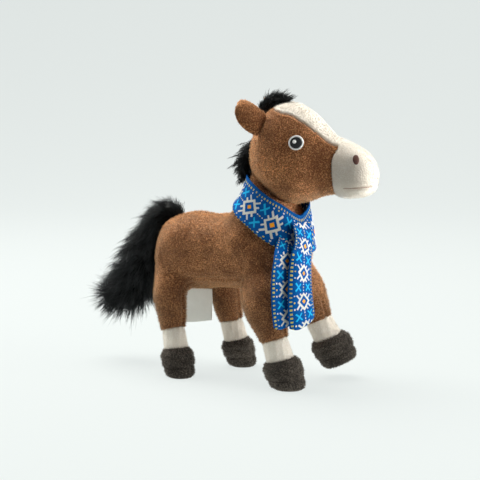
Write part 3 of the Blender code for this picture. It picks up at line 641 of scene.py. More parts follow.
@dataclass(frozen=True)
class FolkRibbon:
    """Jacquard ribbon: rows of stepped diamonds and crosses on a blue ground.

    The UV map gives the place along and across the ribbon in millimetres.
    """

    name: str = "woven_ribbon"
    blue: Colour = (0.001, 0.105, 0.37)
    deep: Colour = (0.0005, 0.045, 0.22)
    cyan: Colour = (0.012, 0.42, 0.76)
    cream: Colour = (0.64, 0.65, 0.59)
    orange: Colour = (0.90, 0.38, 0.02)
    yellow: Colour = (0.55, 0.50, 0.10)
    repeat: float = 21.6
    thread: float = 0.42
    diamond: float = 5.1
    diamond_line: float = 1.7
    heart: float = 1.4
    prong_half: float = 0.65
    long_side: float = 1.9
    short_side: float = 1.5
    long_prong: float = 9.0
    short_prong: float = 7.5
    cross_side: float = 6.0
    cross_arm: float = 3.8
    cross_half: float = 0.62
    dot: float = 0.54
    dot_row: float = 9.3
    dot_far: float = 4.7
    dot_near: float = 2.3
    edge_row: float = 11.2
    edge_step: float = 2.9

    @staticmethod
    def _inside(x: Signal, y: Signal, half_x: float, half_y: float) -> Signal:
        """One inside a rectangle round the origin: the larger of |x| / half is below 1."""
        return (abs(x) / half_x).most(abs(y) / half_y).below(1.0)

    def _dot(self, x: Signal, y: Signal) -> Signal:
        """One inside a small square dot."""
        return self._inside(x, y, self.dot, self.dot)

    def _prongs(self, along: Signal, across: Signal) -> Signal:
        """A long and a short prong on two opposite sides of the diamond.

        Args:
            along: Place along the prongs.
            across: Place across them.

        Returns:
            One on a prong, zero elsewhere.
        """
        turned = across * along.math("SIGN")
        long_one = self._inside(along, turned - self.long_side, self.long_prong, self.prong_half)
        short_one = self._inside(
            along, turned + self.short_side, self.short_prong, self.prong_half
        )
        outside = 1 - abs(along).below(self.diamond)
        return long_one.most(short_one) * outside

    def material(self) -> bpy.types.Material:
        """Build the finish.

        The place is snapped to threads and counted from the middle of each repeat.
        Diamonds are where the larger of |a| and |b| is small, a and b being the
        diagonals, and sines raise the threads.

        Returns:
            The material.
        """
        graph = NodeGraph(self.name)
        u_smooth = graph.weave()
        v_smooth = u_smooth.beside(1)
        u = u_smooth.math("SNAP", self.thread) + self.thread / 2
        v = v_smooth.math("SNAP", self.thread) + self.thread / 2
        here = u.wrapped(self.repeat)
        half = (u + self.repeat / 2).wrapped(self.repeat)
        a = (here + v) * math.sqrt(0.5)
        b = (here - v) * math.sqrt(0.5)
        reach = abs(a).most(abs(b))
        outline = reach.below(self.diamond) * (1 - reach.below(self.diamond - self.diamond_line))
        heart = reach.below(self.heart)
        cream = outline.most(self._prongs(a, b * -1.0)).most(self._prongs(b, a * -1.0))
        side = abs(v) - self.cross_side
        c = (half + side) * math.sqrt(0.5)
        d = (half - side) * math.sqrt(0.5)
        cross = self._inside(c, d, self.cross_arm, self.cross_half)
        cross = cross.most(self._inside(c, d, self.cross_half, self.cross_arm))
        outer = abs(v) - self.dot_row
        cream = cream.most(self._dot(abs(here) - self.dot_far, outer))
        cream = cream.most(self._dot(abs(half) - self.dot_near, v))
        yellow = self._dot(here, outer).most(self._dot(half, v))
        yellow = yellow.most(self._dot(u.wrapped(self.edge_step), abs(v) - self.edge_row))
        weft = (u_smooth * (2 * math.pi / self.thread)).math("SINE") * 0.5 + 0.5
        warp = (v_smooth * (2 * math.pi / self.thread)).math("SINE") * 0.5 + 0.5
        grain = graph.noise(0.08 * MM, 2.0)
        colour = graph.blend(grain * 0.6 + weft * 0.25, self.blue, self.deep)
        woven = ((cross, self.cyan), (yellow, self.yellow), (heart, self.orange))
        for share, thread in (*woven, (cream, self.cream)):
            colour = graph.blend(share, colour, thread)
        raised = cream.most(cross).most(heart).most(yellow)
        height = weft * 0.5 + warp * 0.25 + raised * 0.8
        values = {
            "Base Color": colour,
            "Roughness": 0.80 - raised * 0.08,
            "Specular IOR Level": 0.07,
            "Normal": graph.relief(height, 0.12 * MM),
        }
        return graph.surface(values)


@dataclass(frozen=True)
class Satin:
    """Bare white satin tape with a fine rib."""

    name: str = "satin_label"
    white: Colour = (0.92, 0.92, 0.86)
    shade: Colour = (0.74, 0.74, 0.68)
    rib: float = 0.35

    def material(self) -> bpy.types.Material:
        """Build the finish.

        Returns:
            The material.
        """
        graph = NodeGraph(self.name)
        along = graph.weave().beside(1)
        rib = (along * (2 * math.pi / self.rib)).math("SINE") * 0.5 + 0.5
        cloud = graph.noise(5 * MM)
        values = {
            "Base Color": graph.blend(cloud * 0.6 + rib * 0.3, self.shade, self.white),
            "Roughness": 0.48 + rib * 0.1,
            "Specular IOR Level": 0.4,
            "Normal": graph.relief(rib, 0.05 * MM),
        }
        return graph.surface(values)


# BROWN's last two numbers are its painted shade low on the legs and its painted light high on the
# head.
BROWN = Plush(
    "plush_brown", (0.80, 0.385, 0.163), (0.16, 0.058, 0.021), (0.95, 0.72, 0.44), 0.58, 0.63, 1.20
)
CREAM = Plush("plush_cream", (0.89, 0.85, 0.775), (0.76, 0.69, 0.59), (1.0, 0.98, 0.94), 0.1)
HOOF = Plush("plush_hoof", (0.22, 0.185, 0.15), (0.026, 0.021, 0.017), (0.5, 0.45, 0.4), 0.25)
BLACK_HAIR = LongHair("long_hair", (0.0012, 0.0016, 0.002), (0.005, 0.007, 0.008))
WHITE_THREAD = Thread("white_thread", (0.98, 0.98, 0.96), (0.80, 0.80, 0.78))
BLACK_THREAD = Thread("black_thread", (0.007, 0.009, 0.012), (0.002, 0.003, 0.004), 0.3)
BROWN_THREAD = Thread("brown_thread", (0.11, 0.035, 0.02), (0.05, 0.015, 0.009), 0.25)
LIP_THREAD = Thread("lip_thread", (0.42, 0.25, 0.17), (0.25, 0.13, 0.08), 0.25)


@dataclass
class Pile:
    """Standing fibres: thin three-sided spikes scattered evenly over a skin.

    Each root is a random point of a triangle that is picked by its area. The spike
    points along the normal, leaned by the nap and by chance.
    """

    length: float = 1.5 * MM
    half_width: float = 0.17 * MM
    per_square_mm: float = 1.5
    nap: tuple[float, float, float] = (-0.15, 0.0, -0.45)
    scatter: float = 0.45
    root_depth: float = 0.25 * MM
    most: int = 48000

    def grow(self, skin: Cloth, seed: int, keep: Array | None = None) -> Cloth:
        """Grow the fibres.

        Args:
            skin: What they stand on.
            seed: Fixes the random draws.
            keep: The share of the fibres to keep at each point of the skin.

        Returns:
            The fibres, with how far each point is from its root and its tone.
        """
        random = np.random.default_rng(seed)
        tris = skin.triangles()
        corner = [skin.points[tris[:, k]] for k in range(3)]
        area = np.linalg.norm(np.cross(corner[1] - corner[0], corner[2] - corner[0]), axis=1) / 2
        density = area.copy()
        if keep is not None:
            density *= keep[tris].mean(axis=1)
        count = int(min(density.sum() / MM**2 * self.per_square_mm, self.most))
        chosen = random.choice(len(tris), count, p=density / density.sum())
        mix = random.random((count, 2))
        over = mix.sum(axis=1) > 1
        mix[over] = 1 - mix[over]
        share = np.stack([1 - mix.sum(axis=1), mix[:, 0], mix[:, 1]], axis=1)
        normals = skin.normals()
        root = sum(share[:, k, None] * corner[k][chosen] for k in range(3))
        normal = unit(sum(share[:, k, None] * normals[tris[chosen, k]] for k in range(3)))
        lean = np.array(self.nap) + self.scatter * random.normal(size=(count, 3))
        way = unit(normal + lean - 0.5 * (lean * normal).sum(axis=1, keepdims=True) * normal)
        length = self.length * (0.65 + 0.6 * random.random(count))[:, None]
        aside, third = square_ways(way, random.normal(size=(count, 3)))
        base = root - self.root_depth * normal
        ring = base[:, None] + self.half_width * ring_of(aside, third, 3)
        points = np.concatenate([ring, (root + length * way)[:, None]], axis=1)
        first = np.arange(count)[:, None] * 4
        faces = np.array([[0, 1, 3], [1, 2, 3], [2, 0, 3], [0, 2, 1]])
        tone = np.repeat(random.random(count), 4)
        reach = np.tile([0.0, 0.0, 0.0, 1.0], count)
        return Cloth(
            points.reshape(-1, 3),
            np.zeros((0, 4), int),
            (first[:, None] + faces[None]).reshape(-1, 3),
            marks={"reach": reach, "tone": tone},
        )


@dataclass
class Locks:
    """Long hair in pointed locks.

    A lock has a root and a tip. Its strands start round the root and close in on
    the tip along a parabola, each a three-sided tube that tapers to a point.
    """

    strands: int = 18
    spread: float = 1.6 * MM
    tip_spread: float = 0.5 * MM
    half_width: float = 0.16 * MM
    steps: int = 4
    uneven: float = 0.25

    def grow(self, roots: Array, tips: Array, sag: Array, seed: int) -> Cloth:
        """Grow the strands.

        Args:
            roots: Root of each lock.
            tips: Tip of each lock.
            sag: How far the middle of each lock bends aside, as vectors.
            seed: Fixes the random draws.

        Returns:
            The strands, with how far each point is from its root and its tone.
        """
        random = np.random.default_rng(seed)
        count = len(roots) * self.strands
        lock = np.repeat(np.arange(len(roots)), self.strands)
        start = roots[lock] + self.spread * random.normal(size=(count, 3)) * 0.6
        length = 1 - self.uneven * random.random(count)[:, None]
        end = tips[lock] + self.tip_spread * random.normal(size=(count, 3))
        end = start + (end - start) * length
        bend = sag[lock] * (0.7 + 0.6 * random.random(count))[:, None]
        t = np.linspace(0, 1, self.steps + 1)[:, None, None]
        line = start + (end - start) * t + bend * (4 * t * (1 - t))
        way = unit(np.gradient(line, axis=0))
        aside, third = square_ways(way[:-1], np.array([0.31, 0.77, 0.56]))
        taper = self.half_width * (1 - 0.7 * t[:-1] ** 1.5)
        ring = line[:-1, :, None] + taper[..., None] * ring_of(aside, third, 3)
        ring = ring.transpose(1, 0, 2, 3).reshape(count, -1, 3)
        points = np.concatenate([ring, line[-1][:, None]], axis=1)
        per = points.shape[1]
        cell = np.arange(self.steps * 3).reshape(self.steps, 3)
        after = np.roll(cell, -1, axis=1)
        sides = np.stack([cell[:-1], after[:-1], after[1:], cell[1:]], axis=-1).reshape(-1, 4)
        tip = np.stack([cell[-1], after[-1], np.full(3, per - 1)], axis=-1)
        close = np.concatenate([tip, cell[0][None, ::-1]])
        first = np.arange(count)[:, None, None] * per
        reach = np.concatenate([np.repeat(t[:-1, 0, 0], 3), [1.0]])
        return Cloth(
            points.reshape(-1, 3),
            (first + sides).reshape(-1, 4),
            (first + close).reshape(-1, 3),
            marks={"reach": np.tile(reach, count), "tone": np.repeat(random.random(count), per)},
        )


@dataclass
class Trunk:
    """The stuffed trunk and neck: one skin lofted through leaning ovals."""

    length: float = 118 * MM
    depth: float = 60 * MM
    width: float = 68 * MM
    belly: float = 60 * MM
    neck_depth: float = 42.6 * MM
    neck_width: float = 38 * MM
    neck_rise: float = 21.8 * MM
    fullness: float = 0.86
    rump_end_share: float = -0.549
    shares: Table = (
        (-0.540, 0.485, 0.0, 0.140, 0.130, 0.0),
        (-0.522, 0.480, 0.0, 0.330, 0.320, 0.0),
        (-0.462, 0.482, 0.0, 0.458, 0.445, 0.0),
        (-0.341, 0.518, 0.0, 0.489, 0.490, 0.0),
        (-0.195, 0.532, -5.8, 0.462, 0.478, 0.0),
        (-0.038, 0.556, -16.5, 0.466, 0.465, 0.0),
        (0.119, 0.593, -29.7, 0.520, 0.480, 0.0),
        (0.206, 0.650, -37.8, 0.591, 0.480, 0.0),
        (0.258, 0.737, -43.9, 0.631, 0.465, 0.15),
        (0.283, 0.821, -47.6, 0.669, 0.440, 0.40),
        (0.284, 0.896, -50.1, 0.727, 0.420, 0.70),
        (0.270, 1.000, -49.8, 0.727, 0.420, 1.00),
    )

    def rings(self, station: Array) -> tuple[Array, Array, Array]:
        """The oval at each station: it leans, and blends from the trunk to the neck.

        Args:
            station: Rows of the table of shares, which may be fractional.

        Returns:
            Centre, half depth and half width, as vectors.
        """
        read = between(self.shares, station)
        place, height, lean, depth, width, neck = np.moveaxis(read, -1, 0)
        neck = np.clip(neck, 0, 1)
        lean = np.radians(lean)
        flat = np.zeros_like(place)
        rise = self.belly + height * self.depth + neck * self.neck_rise
        centre = np.stack([place * self.length, flat, rise], axis=-1)
        half_depth = (1 - neck) * depth * self.depth + neck * self.neck_depth / 2
        half_width = (1 - neck) * width * self.width + neck * self.neck_width / 2
        up = np.stack([np.sin(lean), flat, np.cos(lean)], axis=-1) * half_depth[..., None]
        side = np.stack([flat, half_width, flat], axis=-1)
        return centre, up, side

    def skin(self, station: Array, angle: Array) -> Array:
        """Points of the skin: centre + up * cosine + side * sine, with full corners.

        Args:
            station: Rows of the table of shares.
            angle: The turn round the oval from its top, in radians.

        Returns:
            The points.
        """
        centre, up, side = self.rings(station)
        cosine = rounded(np.cos(angle), self.fullness)[..., None]
        sine = rounded(np.sin(angle), self.fullness)[..., None]
        return centre + up * cosine + side * sine

    def seam(self) -> tuple[Array, Array]:
        """Middle of the seam between neck and head, and its upward normal."""
        centre, up, _ = self.rings(np.array(float(len(self.shares) - 1)))
        return centre, unit(np.array([up[2], 0.0, -up[0]]))


def joint_place(name: str) -> Array:
    """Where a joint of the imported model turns."""
    return np.array(next(j for j in frame["joints"] if j["name"] == name)["pos_m"])


TRUNK = Trunk()
SEAM_MIDDLE, SEAM_NORMAL = TRUNK.seam()
HEAD_PLACE = joint_place("head_turn")
SHIFT = HEAD_PLACE - SEAM_MIDDLE
HEAD_YAW = math.radians(16)


def dress(
    name: str,
    cloth: Cloth,
    finish: Plush,
    body: str,
    pile: Pile,
    seed: int,
    replaces: tuple[str, ...],
    keep: Array | None = None,
    wall: float = 0.0,
) -> None:
    """Make a plush piece and its pile.

    Args:
        name: The piece's name.
        cloth: Its skin.
        finish: Its plush.
        body: The body that it moves with.
        pile: The fibres that stand on it.
        seed: Fixes the fibres.
        replaces: The CAD nodes that it stands for.
        keep: Where the fibres stand, point by point.
        wall: The thickness given to an open skin.
    """
    skin = place_piece(name, cloth.mesh(name), finish.material(False), body)
    if wall > 0:
        give_wall(skin, wall, -1.0)
    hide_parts(*replaces)
    log.info("%s: %d faces", name, len(cloth.triangles()))
    fibres = pile.grow(cloth, seed, keep)
    name += "_pile"
    place_piece(name, fibres.mesh(name), finish.material(True), body)
    log.info("%s: %d fibres", name, len(fibres.tris) // 4)


class Side(Enum):
    """The two sides of the horse, with the sign of Y on each."""

    RIGHT = -1
    LEFT = 1

    @property
    def word(self) -> str:
        """The side's name in the names of pieces."""
        return self.name.lower()


@dataclass
class Leg:
    """One leg: a plush sleeve, a sock, a hoof wall and an oval sole."""

    name: str
    foot: tuple[float, float]
    top: tuple[float, float]
    lift: float = 0.0
    shank: float = 19 * MM
    hoof: float = 24.5 * MM
    hoof_height: float = 20.6 * MM
    sole_height: float = 7.6 * MM
    sock_height: float = 13.8 * MM
    stance: float = 62 * MM
    top_share: float = 0.46
    flare: float = 0.0
    rim: float = 0.30
    sock_over: float = 1.2 * MM
    sock_under: float = 1.5 * MM
    sleeve_shares: Table = (
        (1.0, 1.25), (0.85, 1.48), (0.65, 1.50), (0.46, 1.38),
        (0.30, 1.27), (0.12, 1.12), (0.0, 1.0),
    )
    sock_shares: Table = ((1.0, 0.92), (0.5, 0.93), (0.0, 0.99))
    hoof_shares: Table = (
        (1.0, 0.80), (0.93, 0.90), (0.78, 0.985), (0.60, 1.0),
        (0.36, 0.975),
    )
    sole_shares: Table = ((0.93, 0.955), (0.55, 0.93), (0.20, 0.84), (0.0, 0.74))

    def line(self) -> tuple[Array, Array]:
        """Where the leg's middle line meets the floor, and how it leans as it rises."""
        ends = np.array([self.foot, self.top]) * np.array([TRUNK.length, self.stance])
        return ends[0], (ends[1] - ends[0]) / TRUNK.belly

    def axis(self, height: Array) -> Array:
        """The middle line of the leg, which leans and comes inwards inside the trunk.

        Args:
            height: Heights over the floor.

        Returns:
            A point at each height.
        """
        foot, lean = self.line()
        toe = np.clip(1 - height / (self.hoof_height + self.sock_height), 0, 1)
        inside = np.clip((height - TRUNK.belly) / TRUNK.depth, 0, 1)
        x = foot[0] + lean[0] * height + toe * self.hoof_height / 9
        y = (foot[1] + lean[1] * height) * (1 - inside)
        z = height + self.lift * (1 - height / (TRUNK.belly + TRUNK.depth))
        return np.stack([x, y, z], axis=-1)

    def skin(self, height: Array, radius: Array, angle: Array) -> Array:
        """Points of the leg: circles that stand square to the leaning middle line.

        Args:
            height: Height of each circle's middle.
            radius: Its radius.
            angle: The turn round it from the front, in radians.

        Returns:
            The points.
        """
        _, lean = self.line()
        square = np.ones_like(height) if self.lift else np.clip(height / self.hoof_height, 0, 1)
        forward = radius * np.cos(angle)
        sideways = radius * np.sin(angle)
        rise = -square * (forward * lean[0] + sideways * lean[1])
        return self.axis(height) + np.stack([forward, sideways, rise], axis=-1)

    def band(self, shares: Table, bottom: float, height: float, radius: float, rows: int) -> Array:
        """Heights and radii of one band of the leg, read at even steps from its shares."""
        table = np.array(shares) * [height, radius] + [bottom, 0.0]
        return between(table, np.linspace(0, len(shares) - 1, rows))

    def grid(
        self,
        band: Array,
        around: int,
        seam: float,
        swell: float = 0.0,
        gathers: float = 0.0,
        grooves: float = 0.0,
    ) -> Array:
        """A band as a grid.

        The radius swells by half a sine from end to end, dips along the front and
        back seams by a bell curve, and waves by sines round and along the band.

        Args:
            band: Heights and radii.
            around: Points round the band.
            seam: Depth of the seams.
            swell: How far the middle swells.
            gathers: Size of the waves round the band.
            grooves: Size of the waves along it.

        Returns:
            The points, rows by columns by three.
        """
        height, radius = band[:, :1], band[:, 1:]
        angle = full_turn(around)[None]
        along = np.linspace(0, 1, len(band))[:, None]
        plump = swell * np.sin(math.pi * along) ** 0.7
        turned = np.abs((angle + math.pi / 2) % math.pi - math.pi / 2)
        crease = seam * bump_at(turned * radius, 0.9 * MM)
        ridge = 0.35 * seam * bump_at(turned * radius - 2.0 * MM, 1.1 * MM)
        slant = 3.1 * along + 0.7 * np.sin(2 * angle)
        wave = gathers * np.sin(11 * angle + slant) * np.sin(math.pi * along) ** 0.5
        wave = wave + grooves * np.sin(17 * along + 1.3 * np.sin(3 * angle) + np.sin(5 * angle))
        size = radius + plump - crease + ridge + wave
        return self.skin(height + 0 * angle, size, angle + 0 * height)

    def sleeve(self) -> Cloth:
        """The brown sleeve, closed at both ends, to be sewn into the trunk.

        Returns:
            The sleeve, whose back flares out.
        """
        sock_top = self.hoof_height + self.sock_height
        upper = TRUNK.belly + self.top_share * TRUNK.depth - sock_top
        band = self.band(self.sleeve_shares, sock_top, upper, self.shank / 2, 60)
        grid = self.grid(band, 72, 0.9 * MM)
        rise = smooth_step(grid[..., 2], sock_top, TRUNK.belly)
        back = np.clip(self.axis(grid[..., 2])[..., 0] - grid[..., 0], 0, None) / (self.shank / 2)
        grid[..., 0] -= self.flare * (0.4 + 0.6 * rise) * back
        return Cloth.tube(grid)

    def closed(self, grid: Array, kind: str) -> Cloth:
        """A band of the foot, drawn in at its ends and closed.

        Args:
            grid: The band's points.
            kind: Which band it is. A sock keeps its width under its sleeve, and a sole
                on the floor is flat.

        Returns:
            The closed band.
        """
        tuck = grid + self.rim * (grid.mean(axis=1, keepdims=True) - grid)
        rings = [grid, tuck[-1:]] if kind == "sock" else [tuck[:1], grid, tuck[-1:]]
        body = np.concatenate(rings)
        if kind == "sole" and not self.lift:
            body[..., 2] = np.maximum(body[..., 2], 0.0)
        cloth = Cloth.tube(body)
        cloth.face_away(cloth.points.mean(axis=0))
        return cloth

    def dress_foot(self, seed: int) -> None:
        """Make the sock, the hoof wall and the sole.

        Args:
            seed: Fixes the fibres of the first, and the next two of the others.
        """
        sock = self.band(self.sock_shares, self.hoof_height, self.sock_height, self.shank / 2, 26)
        sock[0, 0] += self.sock_over
        sock[-1, 0] -= self.sock_under
        wall = self.band(self.hoof_shares, 0.0, self.hoof_height, self.hoof / 2, 34)
        sole = self.band(self.sole_shares, 0.0, self.sole_height, self.hoof / 2, 14)
        parts = (
            ("sock", sock, CREAM, (0.3 * MM, 0.22 * MM), Pile(1.0 * MM, 0.15 * MM, 1.6)),
            ("hoof_wall", wall, HOOF, (0.7 * MM, 0.0, 0.35 * MM), Pile(1.5 * MM, 0.2 * MM, 1.8)),
            ("sole", sole, HOOF, (0.5 * MM,), Pile(1.3 * MM, 0.2 * MM, 1.8)),
        )
        for number, (kind, band, finish, waves, pile) in enumerate(parts):
            band[:, 1] -= 0.8 * pile.length
            cloth = self.closed(self.grid(band, 108, 0.5 * MM, *waves) + SHIFT, kind)
            hidden = ("leg_stuffing_" + self.name,) if kind == "sock" else ()
            keep = None
            if kind == "sole" and not self.lift:
                keep = smooth_step(cloth.points[:, 2], 0.6 * MM, 1.6 * MM)
                pile.nap = (0.0, 0.0, 0.2)
            name = f"{kind}_{self.name}"
            nodes = (name, *hidden)
            dress("plush_" + name, cloth, finish, "body", pile, seed + number, nodes, keep)


FRONT_SLEEVE: Table = (
    (1.0, 1.25), (0.85, 1.50), (0.65, 1.55), (0.38, 1.40),
    (0.19, 1.20), (0.06, 1.05), (0.0, 1.0),
)
FRONT = {"shank": 20.5 * MM, "hoof": 28 * MM, "sleeve_shares": FRONT_SLEEVE}
LEGS = (
    Leg("right_hind", (-0.288, -0.50), (-0.384, -0.42)),
    Leg("left_hind", (-0.186, 0.50), (-0.275, 0.395)),
    Leg("right_front", (0.468, -0.32), (0.345, -0.40), flare=2.2 * MM, **FRONT),
    Leg("left_front", (0.520, 0.64), (0.345, 0.385), lift=11 * MM, **FRONT),
)


@dataclass
class Body:
    """The brown skin of trunk, neck and leg sleeves, sewn into one."""

    voxel: float = 1.0 * MM
    seam_depth: float = 0.9 * MM
    seam_width: float = 1.1 * MM
    gusset_height: float = 14 * MM
    inset: float = 1.0 * MM
    leg_seam: float = 1.5
    back_seam: float = 0.7
    neck_seam: float = 0.8
    folds: float = 0.28
    dents: float = 0.55

    def trunk_cloth(self) -> Cloth:
        """The trunk and neck as a closed cloth, whose top runs up into the head.

        Returns:
            The cloth.
        """
        stations = np.linspace(0, len(TRUNK.shares) - 1, 150)
        grid = TRUNK.skin(*np.meshgrid(stations, full_turn(112), indexing="ij"))
        rump = grid[0].mean(axis=0)
        rump[0] = TRUNK.rump_end_share * TRUNK.length
        rim = grid[-1:] - SEAM_MIDDLE
        inner = SEAM_MIDDLE + rim * 0.90 + 1.2 * MM * SEAM_NORMAL
        core = SEAM_MIDDLE + rim * 0.80 + 2.2 * MM * SEAM_NORMAL
        top = SEAM_MIDDLE + 2.4 * MM * SEAM_NORMAL
        return Cloth.from_grid(np.concatenate([grid, inner, core]), True, rump, top)

    def sewn(self) -> Cloth:
        """Trunk and sleeves grown together by a voxel remesh, then relaxed.

        Returns:
            The cloth, softest where the legs leave the trunk.
        """
        whole = Cloth.joined([self.trunk_cloth()] + [leg.sleeve() for leg in LEGS])
        rough = bpy.data.objects.new("rough_body", whole.mesh("rough_body"))
        bpy.context.scene.collection.objects.link(rough)
        mend(rough.data)
        remesh = rough.modifiers.new("grow_together", "REMESH")
        remesh.mode = "VOXEL"
        remesh.voxel_size = self.voxel
        cloth = evaluated_cloth(rough)
        cloth.relax(0.5, 3)
        weight = np.zeros(len(cloth.points))
        for leg in LEGS:
            root = leg.axis(np.array(TRUNK.belly + 6 * MM))
            far = np.linalg.norm((cloth.points - root) * np.array([1, 0.9, 1.0]), axis=1)
            weight = np.maximum(weight, 0.6 * (1 - smooth_step(far, 15 * MM, 27 * MM)))
        cloth.relax(weight, 34)
        return cloth

    def crease(self, cloth: Cloth) -> None:
        """Sink the seams, fold the neck's front and dent the stuffed sides.

        The skin dips by a bell curve of its distance to each seam, and waves by sines
        of its place for the folds and the dents.

        Args:
            cloth: The body's skin.
        """
        x, y, z = cloth.points.T
        normals = cloth.normals()
        back = bump_at(y, self.seam_width) * (normals[:, 2] > 0.1) * (z > TRUNK.belly + 30 * MM)
        dip = self.back_seam * back
        level = TRUNK.belly + self.gusset_height + 0.05 * x
        middle = smooth_step(x, -36 * MM, -26 * MM) * (1 - smooth_step(x, 16 * MM, 26 * MM))
        flank = bump_at(z - level, self.seam_width) * middle * (np.abs(y) > 15 * MM)
        dip = np.maximum(dip, flank)
        for leg in LEGS:
            axis = leg.axis(z)
            ahead = x - axis[:, 0]
            aside = y - axis[:, 1]
            near = np.hypot(ahead, aside) < 22 * MM
            below = 1 - smooth_step(z, 60 * MM, 80 * MM)
            seam = bump_at(aside, self.seam_width) * near * below
            dip = np.maximum(dip, self.leg_seam * seam)
        height = (cloth.points - SEAM_MIDDLE) @ SEAM_NORMAL
        neck = bump_at(height + 0.5 * MM, 1.4 * MM) * (z > 100 * MM)
        dip = np.maximum(dip, self.neck_seam * neck)
        angle = np.arctan2(y, x - SEAM_MIDDLE[0])
        front = smooth_step(x, 34 * MM, 46 * MM) * smooth_step(z, 118 * MM, 126 * MM)
        dip += self.folds * np.sin(angle * 16 + 0.7 * height / MM) * front
        wave = np.sin(x / MM * 0.21 + 1.3) * np.sin(z / MM * 0.17 + y / MM * 0.12)
        dip += self.dents * wave * (1 - front)
        cloth.points -= self.seam_depth * dip[:, None] * normals

    def build(self) -> None:
        """Make the body's skin and its pile."""
        cloth = self.sewn()
        self.crease(cloth)
        cloth.relax(0.25, 1)
        cloth.points += SHIFT - self.inset * cloth.normals()
        pile = Pile(1.5 * MM, 0.17 * MM, 1.35, (-0.35, 0.0, -0.35))
        sides = [f"body_side_panel_{side.word}" for side in Side]
        sleeves = [f"leg_sleeve_{leg.name}" for leg in LEGS]
        nodes = (*sides, "belly_gusset", "body_stuffing", *sleeves)
        keep = self.bare_places(cloth)
        dress("plush_body", cloth, BROWN, "body", pile, 11, nodes, keep)

    def bare_places(self, cloth: Cloth) -> Array:
        """Where the pile lies flat: under the ribbon and in the neck seam.

        Args:
            cloth: The body's skin.

        Returns:
            One where the fibres stand and zero where they don't, for each point.
        """
        local = cloth.points - SHIFT
        height = (local - SEAM_MIDDLE) @ SEAM_NORMAL
        sewn = smooth_step(height, -1.2 * MM, -0.4 * MM) * (local[:, 2] > 0.1)
        return (1 - SCARF.under(local)) * (1 - sewn)


